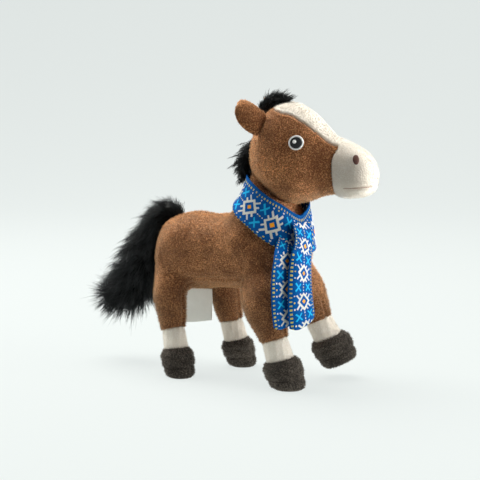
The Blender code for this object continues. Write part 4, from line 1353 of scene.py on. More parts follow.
@dataclass
class Head:
    """The stuffed head: two brown sides, a cream blaze and a cream muzzle.

    Round each eye the skin is sunk by `socket_depth` millimetres.
    """

    length: float = 92 * MM
    depth: float = 71 * MM
    width: float = 56 * MM
    jaw_drop: float = 10.4 * MM
    blaze_width: float = 34 * MM
    fullness: float = 0.84
    poll_end: float = -0.187
    nose_end: float = 0.818
    muzzle_station: float = 7.85
    wall: float = 1.6 * MM
    inset: float = 0.8 * MM
    socket_depth: float = 0.9
    socket_width: float = 7.5 * MM
    shares: Table = (
        (-0.174, 0.465, 0.141, 0.196),
        (-0.129, 0.486, 0.275, 0.321),
        (-0.043, 0.504, 0.405, 0.437),
        (0.064, 0.502, 0.495, 0.491),
        (0.166, 0.494, 0.511, 0.500),
        (0.279, 0.468, 0.459, 0.470),
        (0.381, 0.434, 0.375, 0.407),
        (0.472, 0.388, 0.302, 0.345),
        (0.520, 0.364, 0.296, 0.330),
        (0.612, 0.328, 0.275, 0.340),
        (0.697, 0.306, 0.245, 0.328),
        (0.762, 0.285, 0.195, 0.272),
        (0.800, 0.262, 0.125, 0.178),
    )
    blaze_shares: Table = (
        (0.006, 0.10), (0.020, 0.32), (0.047, 0.45), (0.115, 0.58),
        (0.260, 0.57), (0.360, 0.50), (0.470, 0.40), (0.620, 0.35),
    )

    def oval(self, station: Array) -> tuple[Array, Array, Array, Array]:
        """The oval at each station, read from the table of shares.

        Args:
            station: Rows of the table, which may be fractional.

        Returns:
            Its place along the head, its height, half its depth and half its width.
        """
        scale = [self.length, self.depth, self.depth, self.width]
        read = between(self.shares, station) * scale - [0.0, self.jaw_drop, 0.0, 0.0]
        return tuple(np.moveaxis(read, -1, 0))

    def skin(self, station: Array, angle: Array, out: Array | float = 0.0) -> Array:
        """Points of the head's skin in its own frame, moved out by a distance.

        Each oval stands square to the head's length: height + depth * cosine and
        width * sine, with full corners.

        Args:
            station: Rows of the table of shares.
            angle: The turn round the oval from its top, in radians.
            out: How far to move out.

        Returns:
            The points.
        """
        x, z, depth, width = self.oval(station)
        cosine = rounded(np.cos(angle), self.fullness)
        sine = rounded(np.sin(angle), self.fullness)
        return np.stack([x, (width + out) * sine, z + (depth + out) * cosine], axis=-1)

    def station_at(self, x: Array) -> Array:
        """The station whose oval stands at x: the table read backwards."""
        fine = np.linspace(0, len(self.shares) - 1, 400)
        return np.interp(x, self.oval(fine)[0], fine)

    def crown_at(self, station: float) -> Array:
        """The top of the head at a station."""
        x, z, depth, _ = self.oval(np.array(station))
        return np.array([x, 0.0, z + depth])

    def side_y(self, x: Array, z: Array) -> Array:
        """How far the skin lies from the middle: the oval solved for its width.

        Args:
            x: Places along the head.
            z: Heights.

        Returns:
            Distances to the side.
        """
        _, middle, depth, width = self.oval(self.station_at(x))
        up = np.clip(np.abs(z - middle) / depth, 0, 0.999) ** (1 / self.fullness)
        return width * np.sqrt(1 - up**2) ** self.fullness

    def world(self, points: Array) -> Array:
        """Points of the head's frame, turned by the yaw and moved to the neck seam."""
        return turned_by(points, HEAD_YAW) + HEAD_PLACE

    def blaze_angle(self, station: Array) -> Array:
        """The angle from the top at which the blaze ends: the oval solved for its turn.

        Args:
            station: Rows of the table of shares.

        Returns:
            The angles, zero behind the blaze.
        """
        x, _, _, width = self.oval(station)
        places, halves = np.array(self.blaze_shares).T
        half = np.interp(x / self.length, places, halves, left=0.0) * self.blaze_width
        return np.arcsin(np.clip(half / width, 0, 1) ** (1 / self.fullness))

    def muzzle_seam(self, angle: Array) -> Array:
        """The station of the muzzle seam, further forward on top than at the side."""
        top = smooth_step(np.cos(angle), 0.15, 0.85)
        return self.muzzle_station + 0.55 * top - 0.08 * np.sin(angle * 3) ** 2

    def socket(self, x: Array, z: Array) -> Array:
        """How near a place is to the eye: a bell curve of its distance."""
        return bump_at(np.hypot(x - EYE.x, z - EYE.z), self.socket_width)

    def plumped(self, points: Array, normal: Array) -> Array:
        """Small swells and hollows: a soft dent before the eye, a fuller cheek.

        Args:
            points: Points of the skin, in the head's frame.
            normal: Their normals.

        Returns:
            The points, moved by bell curves of their distance to each place.
        """
        x, y, z = np.moveaxis(points, -1, 0)
        side = np.abs(y) > 4 * MM
        dent = bump_at(np.hypot(x - 0.41 * self.length, (z - 22 * MM) * 0.7), 8 * MM)
        cheek = bump_at(np.hypot(x - 0.20 * self.length, z - 8 * MM), 20 * MM)
        sunk = self.socket_depth * self.socket(x, z)
        lift = (-1.0 * dent + 1.2 * cheek - sunk) * side * MM
        return points + lift[..., None] * normal

    def patch(self, station: Array, angle: Array, edge: Array) -> Array:
        """A panel whose skin curls in at its seams by a bell curve of the edge distance.

        Args:
            station: Rows of the table of shares, on a grid.
            angle: Turns round the ovals.
            edge: Distances to the nearest seam.

        Returns:
            The panel's points.
        """
        grid = self.skin(station, angle, -self.inset)
        normal = surface_normals(grid)
        grid = self.plumped(grid, normal)
        roll = -1.25 * bump_at(edge, 0.9 * MM) + 0.35 * bump_at(edge - 2.6 * MM, 1.6 * MM)
        return grid + (roll * MM)[..., None] * normal

    def side_panels(self) -> Cloth:
        """The brown sides in one cloth, from one edge of the blaze round to the other.

        Returns:
            The cloth, in the head's frame.
        """
        rows, columns = 110, 170
        share = np.linspace(0, 1, rows)[:, None]
        v = np.linspace(0, 1, columns)[None]
        station = share * self.muzzle_station + 0 * v
        angle = 0 * station
        for _ in range(3):
            edge = self.blaze_angle(station)
            angle = edge + v * (2 * math.pi - 2 * edge)
            station = share**0.85 * self.muzzle_seam(angle)
        _, _, depth, width = self.oval(station)
        size = (depth + width) / 2
        top = np.minimum(angle - edge, 2 * math.pi - edge - angle) * size
        x_seam = self.oval(self.muzzle_seam(angle))[0]
        front = x_seam - self.oval(station)[0]
        chin = np.abs(angle - math.pi) * size
        chin = np.where(station > 4.0, chin, 1.0)
        top = np.where((edge < 1e-4) | (station < 1.2), 1.0, top)
        grid = self.patch(station, angle, np.minimum(np.minimum(top, front), chin))
        start = grid[0].mean(axis=0)
        start[0] = self.poll_end * self.length
        return Cloth.from_grid(grid, False, start)

    def blaze(self) -> Cloth:
        """The cream strip down the forehead, let in between the sides.

        Returns:
            The cloth, in the head's frame.
        """
        rows, columns = 90, 44
        first = float(self.station_at(np.array(self.blaze_shares[0][0] * self.length)))
        v = np.linspace(-1, 1, columns)[None]
        share = np.linspace(0, 1, rows)[:, None] ** 0.8
        station = first + share * (self.muzzle_station - first) + 0 * v
        angle = 0 * station
        for _ in range(3):
            edge = self.blaze_angle(station)
            angle = v * edge
            end = self.muzzle_seam(angle)
            station = first + share * (end - first)
        _, _, depth, width = self.oval(station)
        side = (edge - np.abs(angle)) * (depth + width) / 2
        back = self.oval(station)[0] - self.oval(np.array(first))[0]
        return Cloth.from_grid(self.patch(station, angle, np.minimum(side, back)))

    def muzzle(self) -> Cloth:
        """The cream muzzle, a rounded cap sewn on in front.

        Returns:
            The cloth, in the head's frame, closed at the nose.
        """
        end = len(self.shares) - 1
        share = np.linspace(0, 1, 80)[:, None] ** 0.9
        angle = full_turn(150)[None] + 0 * share
        seam = self.muzzle_seam(angle)
        station = seam + share * (end - seam)
        front = self.oval(station)[0] - self.oval(seam)[0]
        grid = self.skin(station, angle, -self.inset)
        middle = grid.mean(axis=1, keepdims=True)
        outward = unit(grid - middle)
        x, y, z = np.moveaxis(grid, -1, 0)
        turned = np.minimum(angle, 2 * math.pi - angle)
        sewn = smooth_step(turned - self.blaze_angle(seam), -0.05, 0.12)
        roll = -1.25 * sewn * bump_at(front, 0.9 * MM) + 0.6 * bump_at(front - 6 * MM, 5 * MM)
        lips = MOUTH.level(x) - z
        crease = bump_at(lips, 0.9 * MM) * smooth_step(x, 0.60 * self.length, 0.64 * self.length)
        plump = 0.45 * bump_at(np.abs(lips) - 3 * MM, 3 * MM) * smooth_step(x, 50 * MM, 60 * MM)
        grid = grid + ((roll - 0.8 * crease + plump) * MM)[..., None] * outward
        nose = grid[-1].mean(axis=0)
        nose[0] = self.nose_end * self.length
        return Cloth.from_grid(grid, True, None, nose)

    def cut_at_neck(self, cloth: Cloth) -> Cloth:
        """Leave out what lies below the neck seam, and draw its edge in to the neck.

        Args:
            cloth: The sides, in the world's frame.

        Returns:
            What is left of them.
        """
        height = (cloth.points - HEAD_PLACE) @ SEAM_NORMAL
        tris = cloth.triangles()
        tris = tris[height[tris].max(axis=1) > 0]
        points = cloth.points - np.minimum(height, 0.0)[:, None] * SEAM_NORMAL
        used, index = np.unique(tris, return_inverse=True)
        points = points[used]
        inward = HEAD_PLACE - points
        inward -= (inward @ SEAM_NORMAL)[:, None] * SEAM_NORMAL
        tuck = 0.9 * MM * bump_at(np.maximum(height[used], 0.0), 1.8 * MM)
        points = points + tuck[:, None] * unit(inward)
        return Cloth(points, np.zeros((0, 4), int), index.reshape(-1, 3))

    def build(self) -> None:
        """Make the head's panels and their pile."""
        side_nodes = ("head_side_right", "head_side_left", "head_stuffing")
        parts = (
            ("plush_head_sides", self.side_panels(), BROWN, side_nodes, 1.4 * MM, 1.35),
            ("plush_blaze", self.blaze(), CREAM, ("blaze_panel",), 1.3 * MM, 1.8),
            ("plush_muzzle", self.muzzle(), CREAM, ("muzzle",), 1.3 * MM, 1.6),
        )
        middle = self.world(np.array([0.28 * self.length, 0.0, 0.35 * self.depth]))
        for number, (name, cloth, finish, nodes, length, thick) in enumerate(parts):
            cloth.points = self.world(cloth.points)
            if finish is BROWN:
                cloth = self.cut_at_neck(cloth)
            cloth.face_away(middle)
            pile = Pile(length, 0.16 * MM, thick, (-0.45, 0.0, -0.2))
            keep = self.bare_places(cloth)
            dress(name, cloth, finish, "head", pile, 31 + number, nodes, keep, self.wall)

    def bare_places(self, cloth: Cloth) -> Array:
        """No pile grows through the eyes, the nostrils, the mouth line or the neck seam.

        Args:
            cloth: A panel of the head, in the world's frame.

        Returns:
            One where the fibres stand and zero where they don't, for each point.
        """
        x, _, z = turned_by(cloth.points - HEAD_PLACE, -HEAD_YAW).T
        eye = np.hypot(x - EYE.x, z - EYE.z)
        keep = smooth_step(eye, EYE.ring - 0.6 * MM, EYE.ring + 0.2 * MM)
        nose = np.hypot((x - NOSTRIL.x) / 1.7, (z - NOSTRIL.z) / 2.6)
        keep *= smooth_step(nose, 0.85 * MM, 1.1 * MM)
        lips = np.abs(MOUTH.level(x) - z)
        keep *= np.maximum(smooth_step(lips, 0.3 * MM, 0.9 * MM), x < 0.6 * self.length)
        height = (cloth.points - HEAD_PLACE) @ SEAM_NORMAL
        return keep * smooth_step(height, 0.3 * MM, 1.5 * MM)


HEAD = Head()


@dataclass
class Stitching:
    """A flat embroidered patch on the head, seen from the side.

    The patch is a disc of rings between an inner and an outer radius. It lies on
    the skin, swells in the middle of its width, and is ridged by its stitches.
    """

    x: float
    z: float
    inner: float
    outer: float
    tall: float = 1.0
    lean: float = 0.0
    stitches: int = 0
    rows_across: float = 0.0
    height: float = 0.8 * MM
    base: float = 0.2 * MM

    def cloth(self, side: Side) -> Cloth:
        """The patch on one side of the head.

        Args:
            side: Which side of the face.

        Returns:
            A closed cloth in the world's frame.
        """
        rows, around = 16, 144
        t = np.linspace(0, 1, rows)[:, None]
        angle = full_turn(around)[None]
        radius = self.inner + (self.outer - self.inner) * t
        across = radius * np.cos(angle)
        up = radius * np.sin(angle) * self.tall
        if self.stitches:
            ridge = 0.5 + 0.5 * np.cos(self.stitches * angle) + 0 * t
        else:
            ridge = 0.5 + 0.5 * np.cos(2 * math.pi * (up + 0.35 * across) / self.rows_across)
        if self.inner > 0:
            dome = np.sin(math.pi * np.clip(0.06 + 0.94 * t, 0, 1)) ** 0.4
        else:
            dome = np.sqrt(np.clip(1 - t**6, 0, 1))
        lean = math.radians(self.lean)
        x = self.x + across * math.cos(lean) + up * math.sin(lean)
        z = self.z - across * math.sin(lean) + up * math.cos(lean)
        y = HEAD.side_y(x, z) - HEAD.socket_depth * MM * HEAD.socket(x, z)
        lift = self.base + dome * (self.height + 0.14 * MM * ridge)
        top = np.stack([x, side.value * (y + lift), z], axis=-1)
        under = np.stack([x, side.value * (y - 0.4 * MM), z], axis=-1)
        grid = np.concatenate([top, under[::-1]])
        marks = np.concatenate([ridge, 0 * ridge])
        if self.inner > 0:
            cloth = Cloth.from_grid(np.concatenate([grid, grid[:1]]), True)
            cloth.marks = {"ridge": np.concatenate([marks, marks[:1]]).ravel()}
        else:
            cloth = Cloth.tube(grid)
            cloth.marks = {"ridge": np.concatenate([marks.ravel(), [0.5, 0.0]])}
        cloth.points = HEAD.world(cloth.points)
        return cloth


@dataclass
class Eye:
    """The embroidered eye: a white ring, a black pupil and a white glint."""

    x: float = 0.255 * HEAD.length
    z: float = 0.615 * HEAD.depth - HEAD.jaw_drop
    ring: float = 5.15 * MM
    pupil: float = 4.1 * MM
    glint: float = 1.5 * MM
    glint_x: float = -0.9 * MM
    glint_z: float = 0.8 * MM

    def parts(self) -> tuple[tuple[str, Stitching, Thread], ...]:
        """Lay out the eye.

        Returns:
            Name, patch and thread of each part.
        """
        x, z = self.x + self.glint_x, self.z + self.glint_z
        ring = Stitching(self.x, self.z, self.pupil - 0.1 * MM, self.ring, stitches=72)
        pupil = Stitching(self.x, self.z, 0.0, self.pupil, rows_across=0.55 * MM, height=0.95 * MM)
        glint = Stitching(x, z, 0.0, self.glint, rows_across=0.5 * MM, height=1.35 * MM)
        return (
            ("eye_ring", ring, WHITE_THREAD),
            ("eye_pupil", pupil, BLACK_THREAD),
            ("eye_glint", glint, WHITE_THREAD),
        )


@dataclass
class Nostril:
    """An embroidered nostril, a slanting oval."""

    x: float = 0.697 * HEAD.length
    z: float = 0.452 * HEAD.depth - HEAD.jaw_drop
    half_width: float = 1.9 * MM
    tall: float = 1.8
    lean: float = -18.0

    def patch(self) -> Stitching:
        """The oval of brown satin stitch."""
        oval = (self.x, self.z, 0.0, self.half_width, self.tall, self.lean)
        return Stitching(*oval, rows_across=0.5 * MM, height=0.6 * MM)


@dataclass
class Mouth:
    """The mouth, one line of thread round the front of the muzzle."""

    share: float = 0.165
    first_share: float = 0.60
    smile: float = 1.2 * MM
    thread: float = 0.24 * MM

    def level(self, x: Array) -> Array:
        """Height of the line: it rises a little towards the nose."""
        along = np.clip(x / HEAD.length - self.first_share, 0, 1) / 0.2
        return self.share * HEAD.depth - HEAD.jaw_drop + self.smile * along

    def cloth(self) -> Cloth:
        """The thread as a thin twisted tube that follows the muzzle's oval.

        Returns:
            The thread, in the world's frame.
        """
        first, end = HEAD.station_at(np.array([self.first_share, 0.80]) * HEAD.length)
        half = np.linspace(first, end, 60)
        station = np.concatenate([half, half[::-1][1:]])
        side = np.concatenate([-np.ones(60), np.ones(59)])
        x, middle, depth, width = HEAD.oval(station)
        z = self.level(x)
        up = np.clip((z - middle) / depth, -0.98, 0.98)
        cosine = rounded(up, 1 / HEAD.fullness)
        y = side * width * (1 - cosine**2) ** (HEAD.fullness / 2)
        line = np.stack([x, y, z], axis=-1)
        line = between(line, np.linspace(0, len(line) - 1, 240))
        upright = np.array([[0.0, 0.0, 1.0]])
        out, _ = square_ways(unit(np.gradient(line, axis=0)), upright)
        turns = np.arange(len(line))[:, None] * 0.9
        twist = 1 + 0.18 * np.cos(full_turn(10) * 2 + turns)
        ring = line[:, None] + self.thread * twist[..., None] * ring_of(out, upright, 10)
        cloth = Cloth.from_grid(ring, True, line[0], line[-1])
        cloth.marks = {"ridge": np.full(len(cloth.points), 0.6)}
        cloth.points = HEAD.world(cloth.points)
        return cloth


EYE = Eye()
NOSTRIL = Nostril()
MOUTH = Mouth()


class Face:
    """The embroidery on both sides of the head."""

    def build(self) -> None:
        """Make the eyes, the nostrils and the mouth."""
        kinds = (*EYE.parts(), ("nostril", NOSTRIL.patch(), BROWN_THREAD))
        parts = [
            (f"{kind}_{side.word}", f"{kind}_{side.word}", patch.cloth(side), thread, thread.name)
            for side in Side
            for kind, patch, thread in kinds
        ]
        parts.append(("mouth", "mouth_stitch", MOUTH.cloth(), LIP_THREAD, "brown_thread"))
        for word, node, cloth, thread, slot in parts:
            name = "stitched_" + word
            mesh = cloth.mesh(name)
            mend(mesh)
            piece = place_piece(name, mesh, thread.material(), "head")
            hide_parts(node)
            log.info("%s: %d faces", name, len(mesh.polygons))


@dataclass
class Ear:
    """One ear: a cupped leaf of plush, sewn on along its lower edge."""

    side: Side
    length: float = 20.5 * MM
    width: float = 19.5 * MM
    lean_share: float = 0.19
    cup: float = 3.4 * MM
    hinge: float = 2.0 * MM
    thick: float = 3.0 * MM
    station: float = 1.93
    angle: float = 48.0
    turn: float = 32.0
    outline_shares: Table = (
        (0.0, 0.84), (0.20, 0.97), (0.45, 1.00), (0.68, 0.90),
        (0.85, 0.70), (0.95, 0.47), (1.0, 0.14),
    )

    def axes(self) -> tuple[Array, Array, Array, Array]:
        """Stand the ear on the head's skin, turned by the twist.

        Returns:
            Place of the sewn edge, and the ear's length, width and facing directions.
        """
        sign = self.side.value
        turn = sign * math.radians(self.angle)
        station = self.station + np.array([-0.2, 0.0, 0.2])
        back, place, ahead = HEAD.skin(station, np.full(3, turn))
        along = ahead - back
        near = HEAD.skin(np.full(2, self.station), np.array([turn - 0.08, turn + 0.08]))
        normal = unit(np.cross(along, near[1] - near[0]))
        along = unit(along - (along @ normal) * normal)
        inward = sign * np.cross(along, normal)
        twist = math.radians(self.turn)
        width = math.cos(twist) * inward + math.sin(twist) * along
        return place + self.hinge * normal, normal, width, sign * np.cross(width, normal)

    def cloth(self) -> Cloth:
        """The leaf as a closed cloth.

        The outline gives the half width at each height. The leaf is cupped by the
        square of the distance across, and its thickness is half an ellipse.

        Returns:
            The leaf, in the head's frame.
        """
        place, up, width, facing = self.axes()
        outline = between(self.outline_shares, np.linspace(0, len(self.outline_shares) - 1, 40))
        seat = self.hinge + 1.0 * MM
        rise = (outline[:, 0] * (self.length + seat) - seat)[:, None]
        half = (outline[:, 1] * self.width / 2)[:, None]
        angle = full_turn(56)[None]
        across = rounded(np.cos(angle), 0.8)
        end = np.clip(1.15 - outline[:, 0], 0, 1)[:, None] ** 0.4
        thick = self.thick / 2 * end * rounded(np.sin(angle), 0.7)
        cup = self.cup * np.sin(np.clip(outline[:, :1], 0, 1) * math.pi * 0.75) * across**2
        grid = (
            place
            + rise[..., None] * (up + self.lean_share * width)
            + (half * across)[..., None] * width
            + (cup + thick)[..., None] * facing
        )
        return Cloth.tube(grid)

    def build(self) -> None:
        """Make the ear and its pile."""
        cloth = self.cloth()
        cloth.relax(0.4, 2)
        cloth.points = HEAD.world(cloth.points)
        cloth.face_away(cloth.points.mean(axis=0))
        body = f"ear_{self.side.word}"
        pile = Pile(1.3 * MM, 0.16 * MM, 1.5, (0.0, 0.0, 0.25))
        nodes = (body + "_back", body + "_lining")
        seed = 51 + self.side.value
        dress("plush_" + body, cloth, BROWN, body, pile, seed, nodes)


@dataclass
class HairBunch:
    """A bunch of long hair round a path: a dark core and pointed locks.

    The path's points are shares of the length, ahead and up, from the top of the head
    at the station of the crown, or from the tail's seam. A lock's root lies on the
    core, whose radii and reach follow the path. Its tip is the root moved out by the
    reach, back along the path by the sweep, and down by the droop.
    """

    name: str
    body: str
    crown: float | None
    length: float
    shares: Table
    thick: float
    radii: tuple[float, ...]
    wide: float
    locks: int
    reach: tuple[float, ...]
    sweep: float
    droop: float
    seed: int
    strands: Locks
    core_share: float = 0.62
    wisps: float = 1.0
    guide: tuple[float, float, float] = (0.0, 1.0, 0.02)

    def __post_init__(self) -> None:
        """Work out the path, the radii and the reach in metres."""
        ahead, up = (np.array(self.shares) * self.length).T
        line = np.stack([ahead, 0 * ahead, up], axis=1)
        if self.crown is None:
            self.path = joint_place("tail_lift") + line
        else:
            self.path = HEAD.world(HEAD.crown_at(self.crown) + line)
        self.radius = np.array(self.radii)[:, None] * self.thick
        self.far = np.array(self.reach)[:, None] * MM

    def core(self) -> Cloth:
        """The core: ovals square to the path, closed at both ends and rippled.

        Returns:
            The core.
        """
        stations = np.linspace(0, len(self.path) - 1, 40)
        middle = between(self.path, stations)
        radius = between(self.radius, stations)[:, 0] * self.core_share
        along = unit(np.gradient(middle, axis=0))
        aside, third = square_ways(along, self.guide)
        angle = full_turn(40)[None, :, None]
        ripple = 1 + 0.08 * np.cos(9 * angle + 5 * stations[:, None, None])
        size = radius[:, None, None] * ripple
        grid = (
            middle[:, None]
            + size * np.cos(angle) * aside[:, None]
            + size * self.wide * np.sin(angle) * third[:, None]
        )
        cloth = Cloth.from_grid(grid, True, middle[0], middle[-1] + along[-1] * radius[-1] * 0.6)
        count = len(cloth.points)
        cloth.marks = {"reach": np.full(count, 0.1), "tone": np.full(count, 0.2)}
        return cloth

    def grown(self) -> Cloth:
        """The locks, spread evenly along the path and round it by the golden angle.

        Returns:
            Their strands.
        """
        random = np.random.default_rng(self.seed)
        count = self.locks
        last = len(self.path) - 1
        station = (np.arange(count) + random.random(count)) / count * last
        golden = math.pi * (3 - math.sqrt(5))
        angle = (np.arange(count) * golden + 0.4 * random.normal(size=count))[:, None]
        middle = between(self.path, station)
        behind, ahead = (between(self.path, np.clip(station + s, 0, last)) for s in (-0.05, 0.05))
        along = unit(ahead - behind)
        aside, third = square_ways(along, self.guide)
        radius = between(self.radius, station) * self.core_share * 0.9
        out = np.cos(angle) * aside + self.wide * np.sin(angle) * third
        roots = middle + radius * out
        chance = random.random((count, 1))
        reach = between(self.far, station)
        reach = reach * (0.75 + 0.35 * chance + self.wisps * chance**12)
        tips = roots + reach * (unit(out) + self.sweep * along)
        tips[:, 2] -= self.droop * reach[:, 0]
        tips += 0.12 * reach * random.normal(size=(count, 3))
        sag = 0.12 * reach * unit(out)
        return self.strands.grow(roots, tips, sag, self.seed + 1)

    def build(self) -> None:
        """Make the core and the locks."""
        for kind, cloth in (("core", self.core()), ("locks", self.grown())):
            name = f"hair_{self.name}_{kind}"
            mesh = cloth.mesh(name)
            hair = place_piece(name, mesh, BLACK_HAIR.material(), self.body)
            if kind == "core":
                mend(mesh)
                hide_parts(self.name)
            log.info("%s: %d faces", name, len(mesh.polygons))


BUNCHES = (
    HairBunch(
        name="tail",
        body="tail",
        crown=None,
        length=108 * MM,
        shares=(
            (0.045, -0.080), (-0.020, -0.030), (-0.092, -0.085), (-0.180, -0.235),
            (-0.260, -0.370), (-0.335, -0.510), (-0.440, -0.630), (-0.620, -0.660),
        ),
        thick=20 * MM,
        radii=(0.22, 0.46, 0.68, 0.88, 1.0, 1.0, 0.84, 0.34),
        wide=0.9,
        locks=1900,
        reach=(4, 8, 10, 11, 11, 11, 11, 10),
        sweep=0.85,
        droop=0.2,
        seed=71,
        strands=Locks(6, 1.8 * MM, 1.3 * MM, 0.125 * MM, 3, 0.6),
        core_share=0.80,
        wisps=0.45,
    ),
    HairBunch(
        name="forelock",
        body="head",
        crown=3.0,
        length=27 * MM,
        shares=((-0.60, -0.20), (-0.38, 0.02), (-0.14, 0.06), (0.10, 0.0)),
        thick=13 * MM,
        radii=(0.26, 0.36, 0.30, 0.16),
        wide=17 / 13,
        locks=230,
        reach=(3, 4, 5, 5),
        sweep=0.9,
        droop=-0.2,
        seed=81,
        strands=Locks(9, 1.2 * MM, 0.7 * MM, 0.12 * MM, uneven=0.5),
    ),
    HairBunch(
        name="mane",
        body="head",
        crown=0.0,
        length=31 * MM,
        shares=((0.16, 0.08), (-0.13, -0.22), (-0.27, -0.55), (-0.24, -0.90)),
        thick=14 * MM,
        radii=(0.22, 0.44, 0.46, 0.22),
        wide=18 / 14,
        locks=230,
        reach=(2, 4.5, 5, 5),
        sweep=0.8,
        droop=0.2,
        seed=91,
        strands=Locks(9, 1.2 * MM, 0.6 * MM, 0.13 * MM, uneven=0.5),
    ),
)


@dataclass(frozen=True)
class Stretch:
    """One stretch of ribbon: its name, what it rides on and what it hangs from.

    Its pattern begins `start` millimetres into the repeat and lies `aside` millimetres
    off the middle. A loose stretch draws up, so its pattern comes `close` times as often.
    """

    name: str
    body: str
    node: str | None
    flat: tuple[float, float]
    held: str
    rests: list[str]
    start: float = 0.0
    aside: float = 0.0
    close: float = 1.0


@dataclass
class Scarf:
    """The woven ribbon: a band round the neck and its two hanging ends."""

    width: float = 25 * MM
    thick: float = 0.8 * MM
    stand_off: float = 1.1 * MM
    end_length: float = 71 * MM
    under_length: float = 50 * MM
    band_start: float = 12.6
    band_aside: float = 1.5
    front_start: float = 1.6
    under_start: float = -5.2
    loose: float = 1.09
    front_curl: float = 1.6 * MM
    under_curl: float = 0.8 * MM
    columns: int = 31
    loop: float = 4.5 * MM
    loop_turn: float = 0.80
    edge_shares: Table = (
        (8.15, 10.20), (7.85, 10.65), (8.40, 10.85), (8.80, 10.90),
        (8.95, 10.55),
    )
    front_shares: Table = (
        (0.0, 0.0, 0.02, -0.12, 4),
        (0.11, 0.62, 0.02, -0.20, 4),
        (0.21, 0.94, 0.02, -0.32, 3),
        (0.31, 1.0, 0.04, -0.47, 2),
        (0.55, 1.0, 0.15, -0.66, 0),
        (0.78, 1.0, 0.20, -0.70, 0),
        (1.0, 1.0, 0.22, -0.64, 0),
    )
    under_shares: Table = (
        (0.0, 0.0, 0.0, -0.14, -12),
        (0.30, 0.0, 0.04, -0.26, -15),
        (0.62, 0.0, 0.08, -0.28, -15),
        (1.0, 0.0, 0.12, -0.20, -13),
    )

    def edges(self, turn: Array) -> tuple[Array, Array]:
        """Stations of the band's lower and upper edge, for places round the neck."""
        share = np.minimum(turn, 2 - turn) * (len(self.edge_shares) - 1)
        return tuple(np.moveaxis(between(self.edge_shares, share), -1, 0))

    def under(self, points: Array) -> Array:
        """Find what the band covers, by the distance to the skin between its edges.

        Args:
            points: Points of the body's skin.

        Returns:
            One for each point under the band, zero for the others.
        """
        stations = np.linspace(7, 11, 90)
        turns = np.linspace(0, 2, 72, endpoint=False)
        station, turn = np.meshgrid(stations, turns, indexing="ij")
        low, high = self.edges(turn)
        inside = (station > low - 0.08) & (station < high + 0.02)
        covered = TRUNK.skin(station, turn * math.pi)[inside]
        near = np.zeros(len(points))
        high_up = np.flatnonzero(points[:, 2] > 90 * MM)
        for part in np.array_split(high_up, max(1, len(high_up) // 2000)):
            gap = np.linalg.norm(points[part, None] - covered[None], axis=2).min(axis=1)
            near[part] = gap < 1.6 * MM
        return near

    def band_grid(self, rows: int, columns: int, out: float) -> Array:
        """The band's middle surface: the neck's skin moved out along its normal.

        Sines ripple it, its edges curl, and bell curves open a loop and a dip at the nape.

        Args:
            rows: Points across the band.
            columns: Points round the neck.
            out: How far it stands off.

        Returns:
            The points.
        """
        v = np.linspace(0, 1, rows)[:, None]
        turn = (np.arange(columns) * 2 / columns)[None] + 0 * v
        low, high = self.edges(turn)
        station = low + v * (high - low)
        angle = turn * math.pi
        step = 0.06
        along = TRUNK.skin(station + step, angle) - TRUNK.skin(station - step, angle)
        across = TRUNK.skin(station, angle + step) - TRUNK.skin(station, angle - step)
        normal = unit(np.cross(along, across))
        ripple = 0.25 * MM * np.sin(angle * 5 + 2 * v) * np.sin(math.pi * v)
        edge = 0.5 * MM * (np.abs(2 * v - 1) ** 4)
        loop = self.loop * bump_at(turn - self.loop_turn, 0.13) * v**2
        nape = -0.7 * MM * bump_at(np.minimum(turn, 2 - turn), 0.25)
        out = (out + ripple + edge + loop + nape)[..., None] * normal
        return TRUNK.skin(station, angle) + out + SHIFT

    def end_grid(self, shares: Table, length: float, bulge: float, curl: float) -> Array:
        """A hanging end: its middle line from the table, curled across its width.

        Args:
            shares: Rows of the share of the length, of the bulge, of the width ahead
                and aside, and the turn in degrees.
            length: The end's length.
            bulge: How far the chest stands ahead.
            curl: How far the middle stands ahead of the edges.

        Returns:
            The points, from where the end hangs.
        """
        read = between(shares, np.linspace(0, len(shares) - 1, 90))
        v = np.linspace(-0.5, 0.5, self.columns)
        across = v * self.width
        facing = np.radians(read[:, 4:5])
        forward = (read[:, 1] * bulge + read[:, 2] * self.width)[:, None]
        fade = smooth_step(read[:, :1], 0.05, 0.5)
        wave = np.sin(read[:, :1] * 7 + v[None] * 3)
        bow = curl * fade * (1 - (2 * v[None]) ** 2) + 0.5 * MM * fade * wave
        turned_back = curl * 2.2 * fade * np.clip((-0.28 - v[None]) / 0.22, 0, 1) ** 2
        x = forward - np.sin(facing) * across + bow - turned_back
        y = (read[:, 3] * self.width)[:, None] + np.cos(facing) * across
        low = smooth_step(read[:, :1], 0.7, 1.0)
        lifted = low * (v[None] * 7.0 + 2.5 * np.abs(2 * v[None]) ** 6) * MM
        z = -(read[:, :1] * length) + lifted
        return np.stack([x, y, z + 0 * x], axis=-1)

    def millimetres(self, grid: Array) -> Array:
        """Places along and across a ribbon in millimetres, measured on its grid.

        Along is the length of the middle row's steps, summed, plus how far a point
        leans ahead of the middle. Across is the share of the columns times the
        ribbon's width, counted from the middle.

        Args:
            grid: The ribbon's middle surface, along by across.

        Returns:
            A place for each point.
        """
        rows, columns = grid.shape[:2]
        middle = grid[:, columns // 2]
        along = np.concatenate([[0], np.cumsum(np.linalg.norm(np.diff(middle, axis=0), axis=1))])
        way = unit(np.gradient(middle, axis=0))
        ahead = ((grid - middle[:, None]) * way[:, None]).sum(axis=-1)
        half = self.width / MM / 2
        across = np.tile(np.linspace(-half, half, columns), rows)
        return np.stack([((along[:, None] + ahead) / MM).ravel(), across], axis=1)

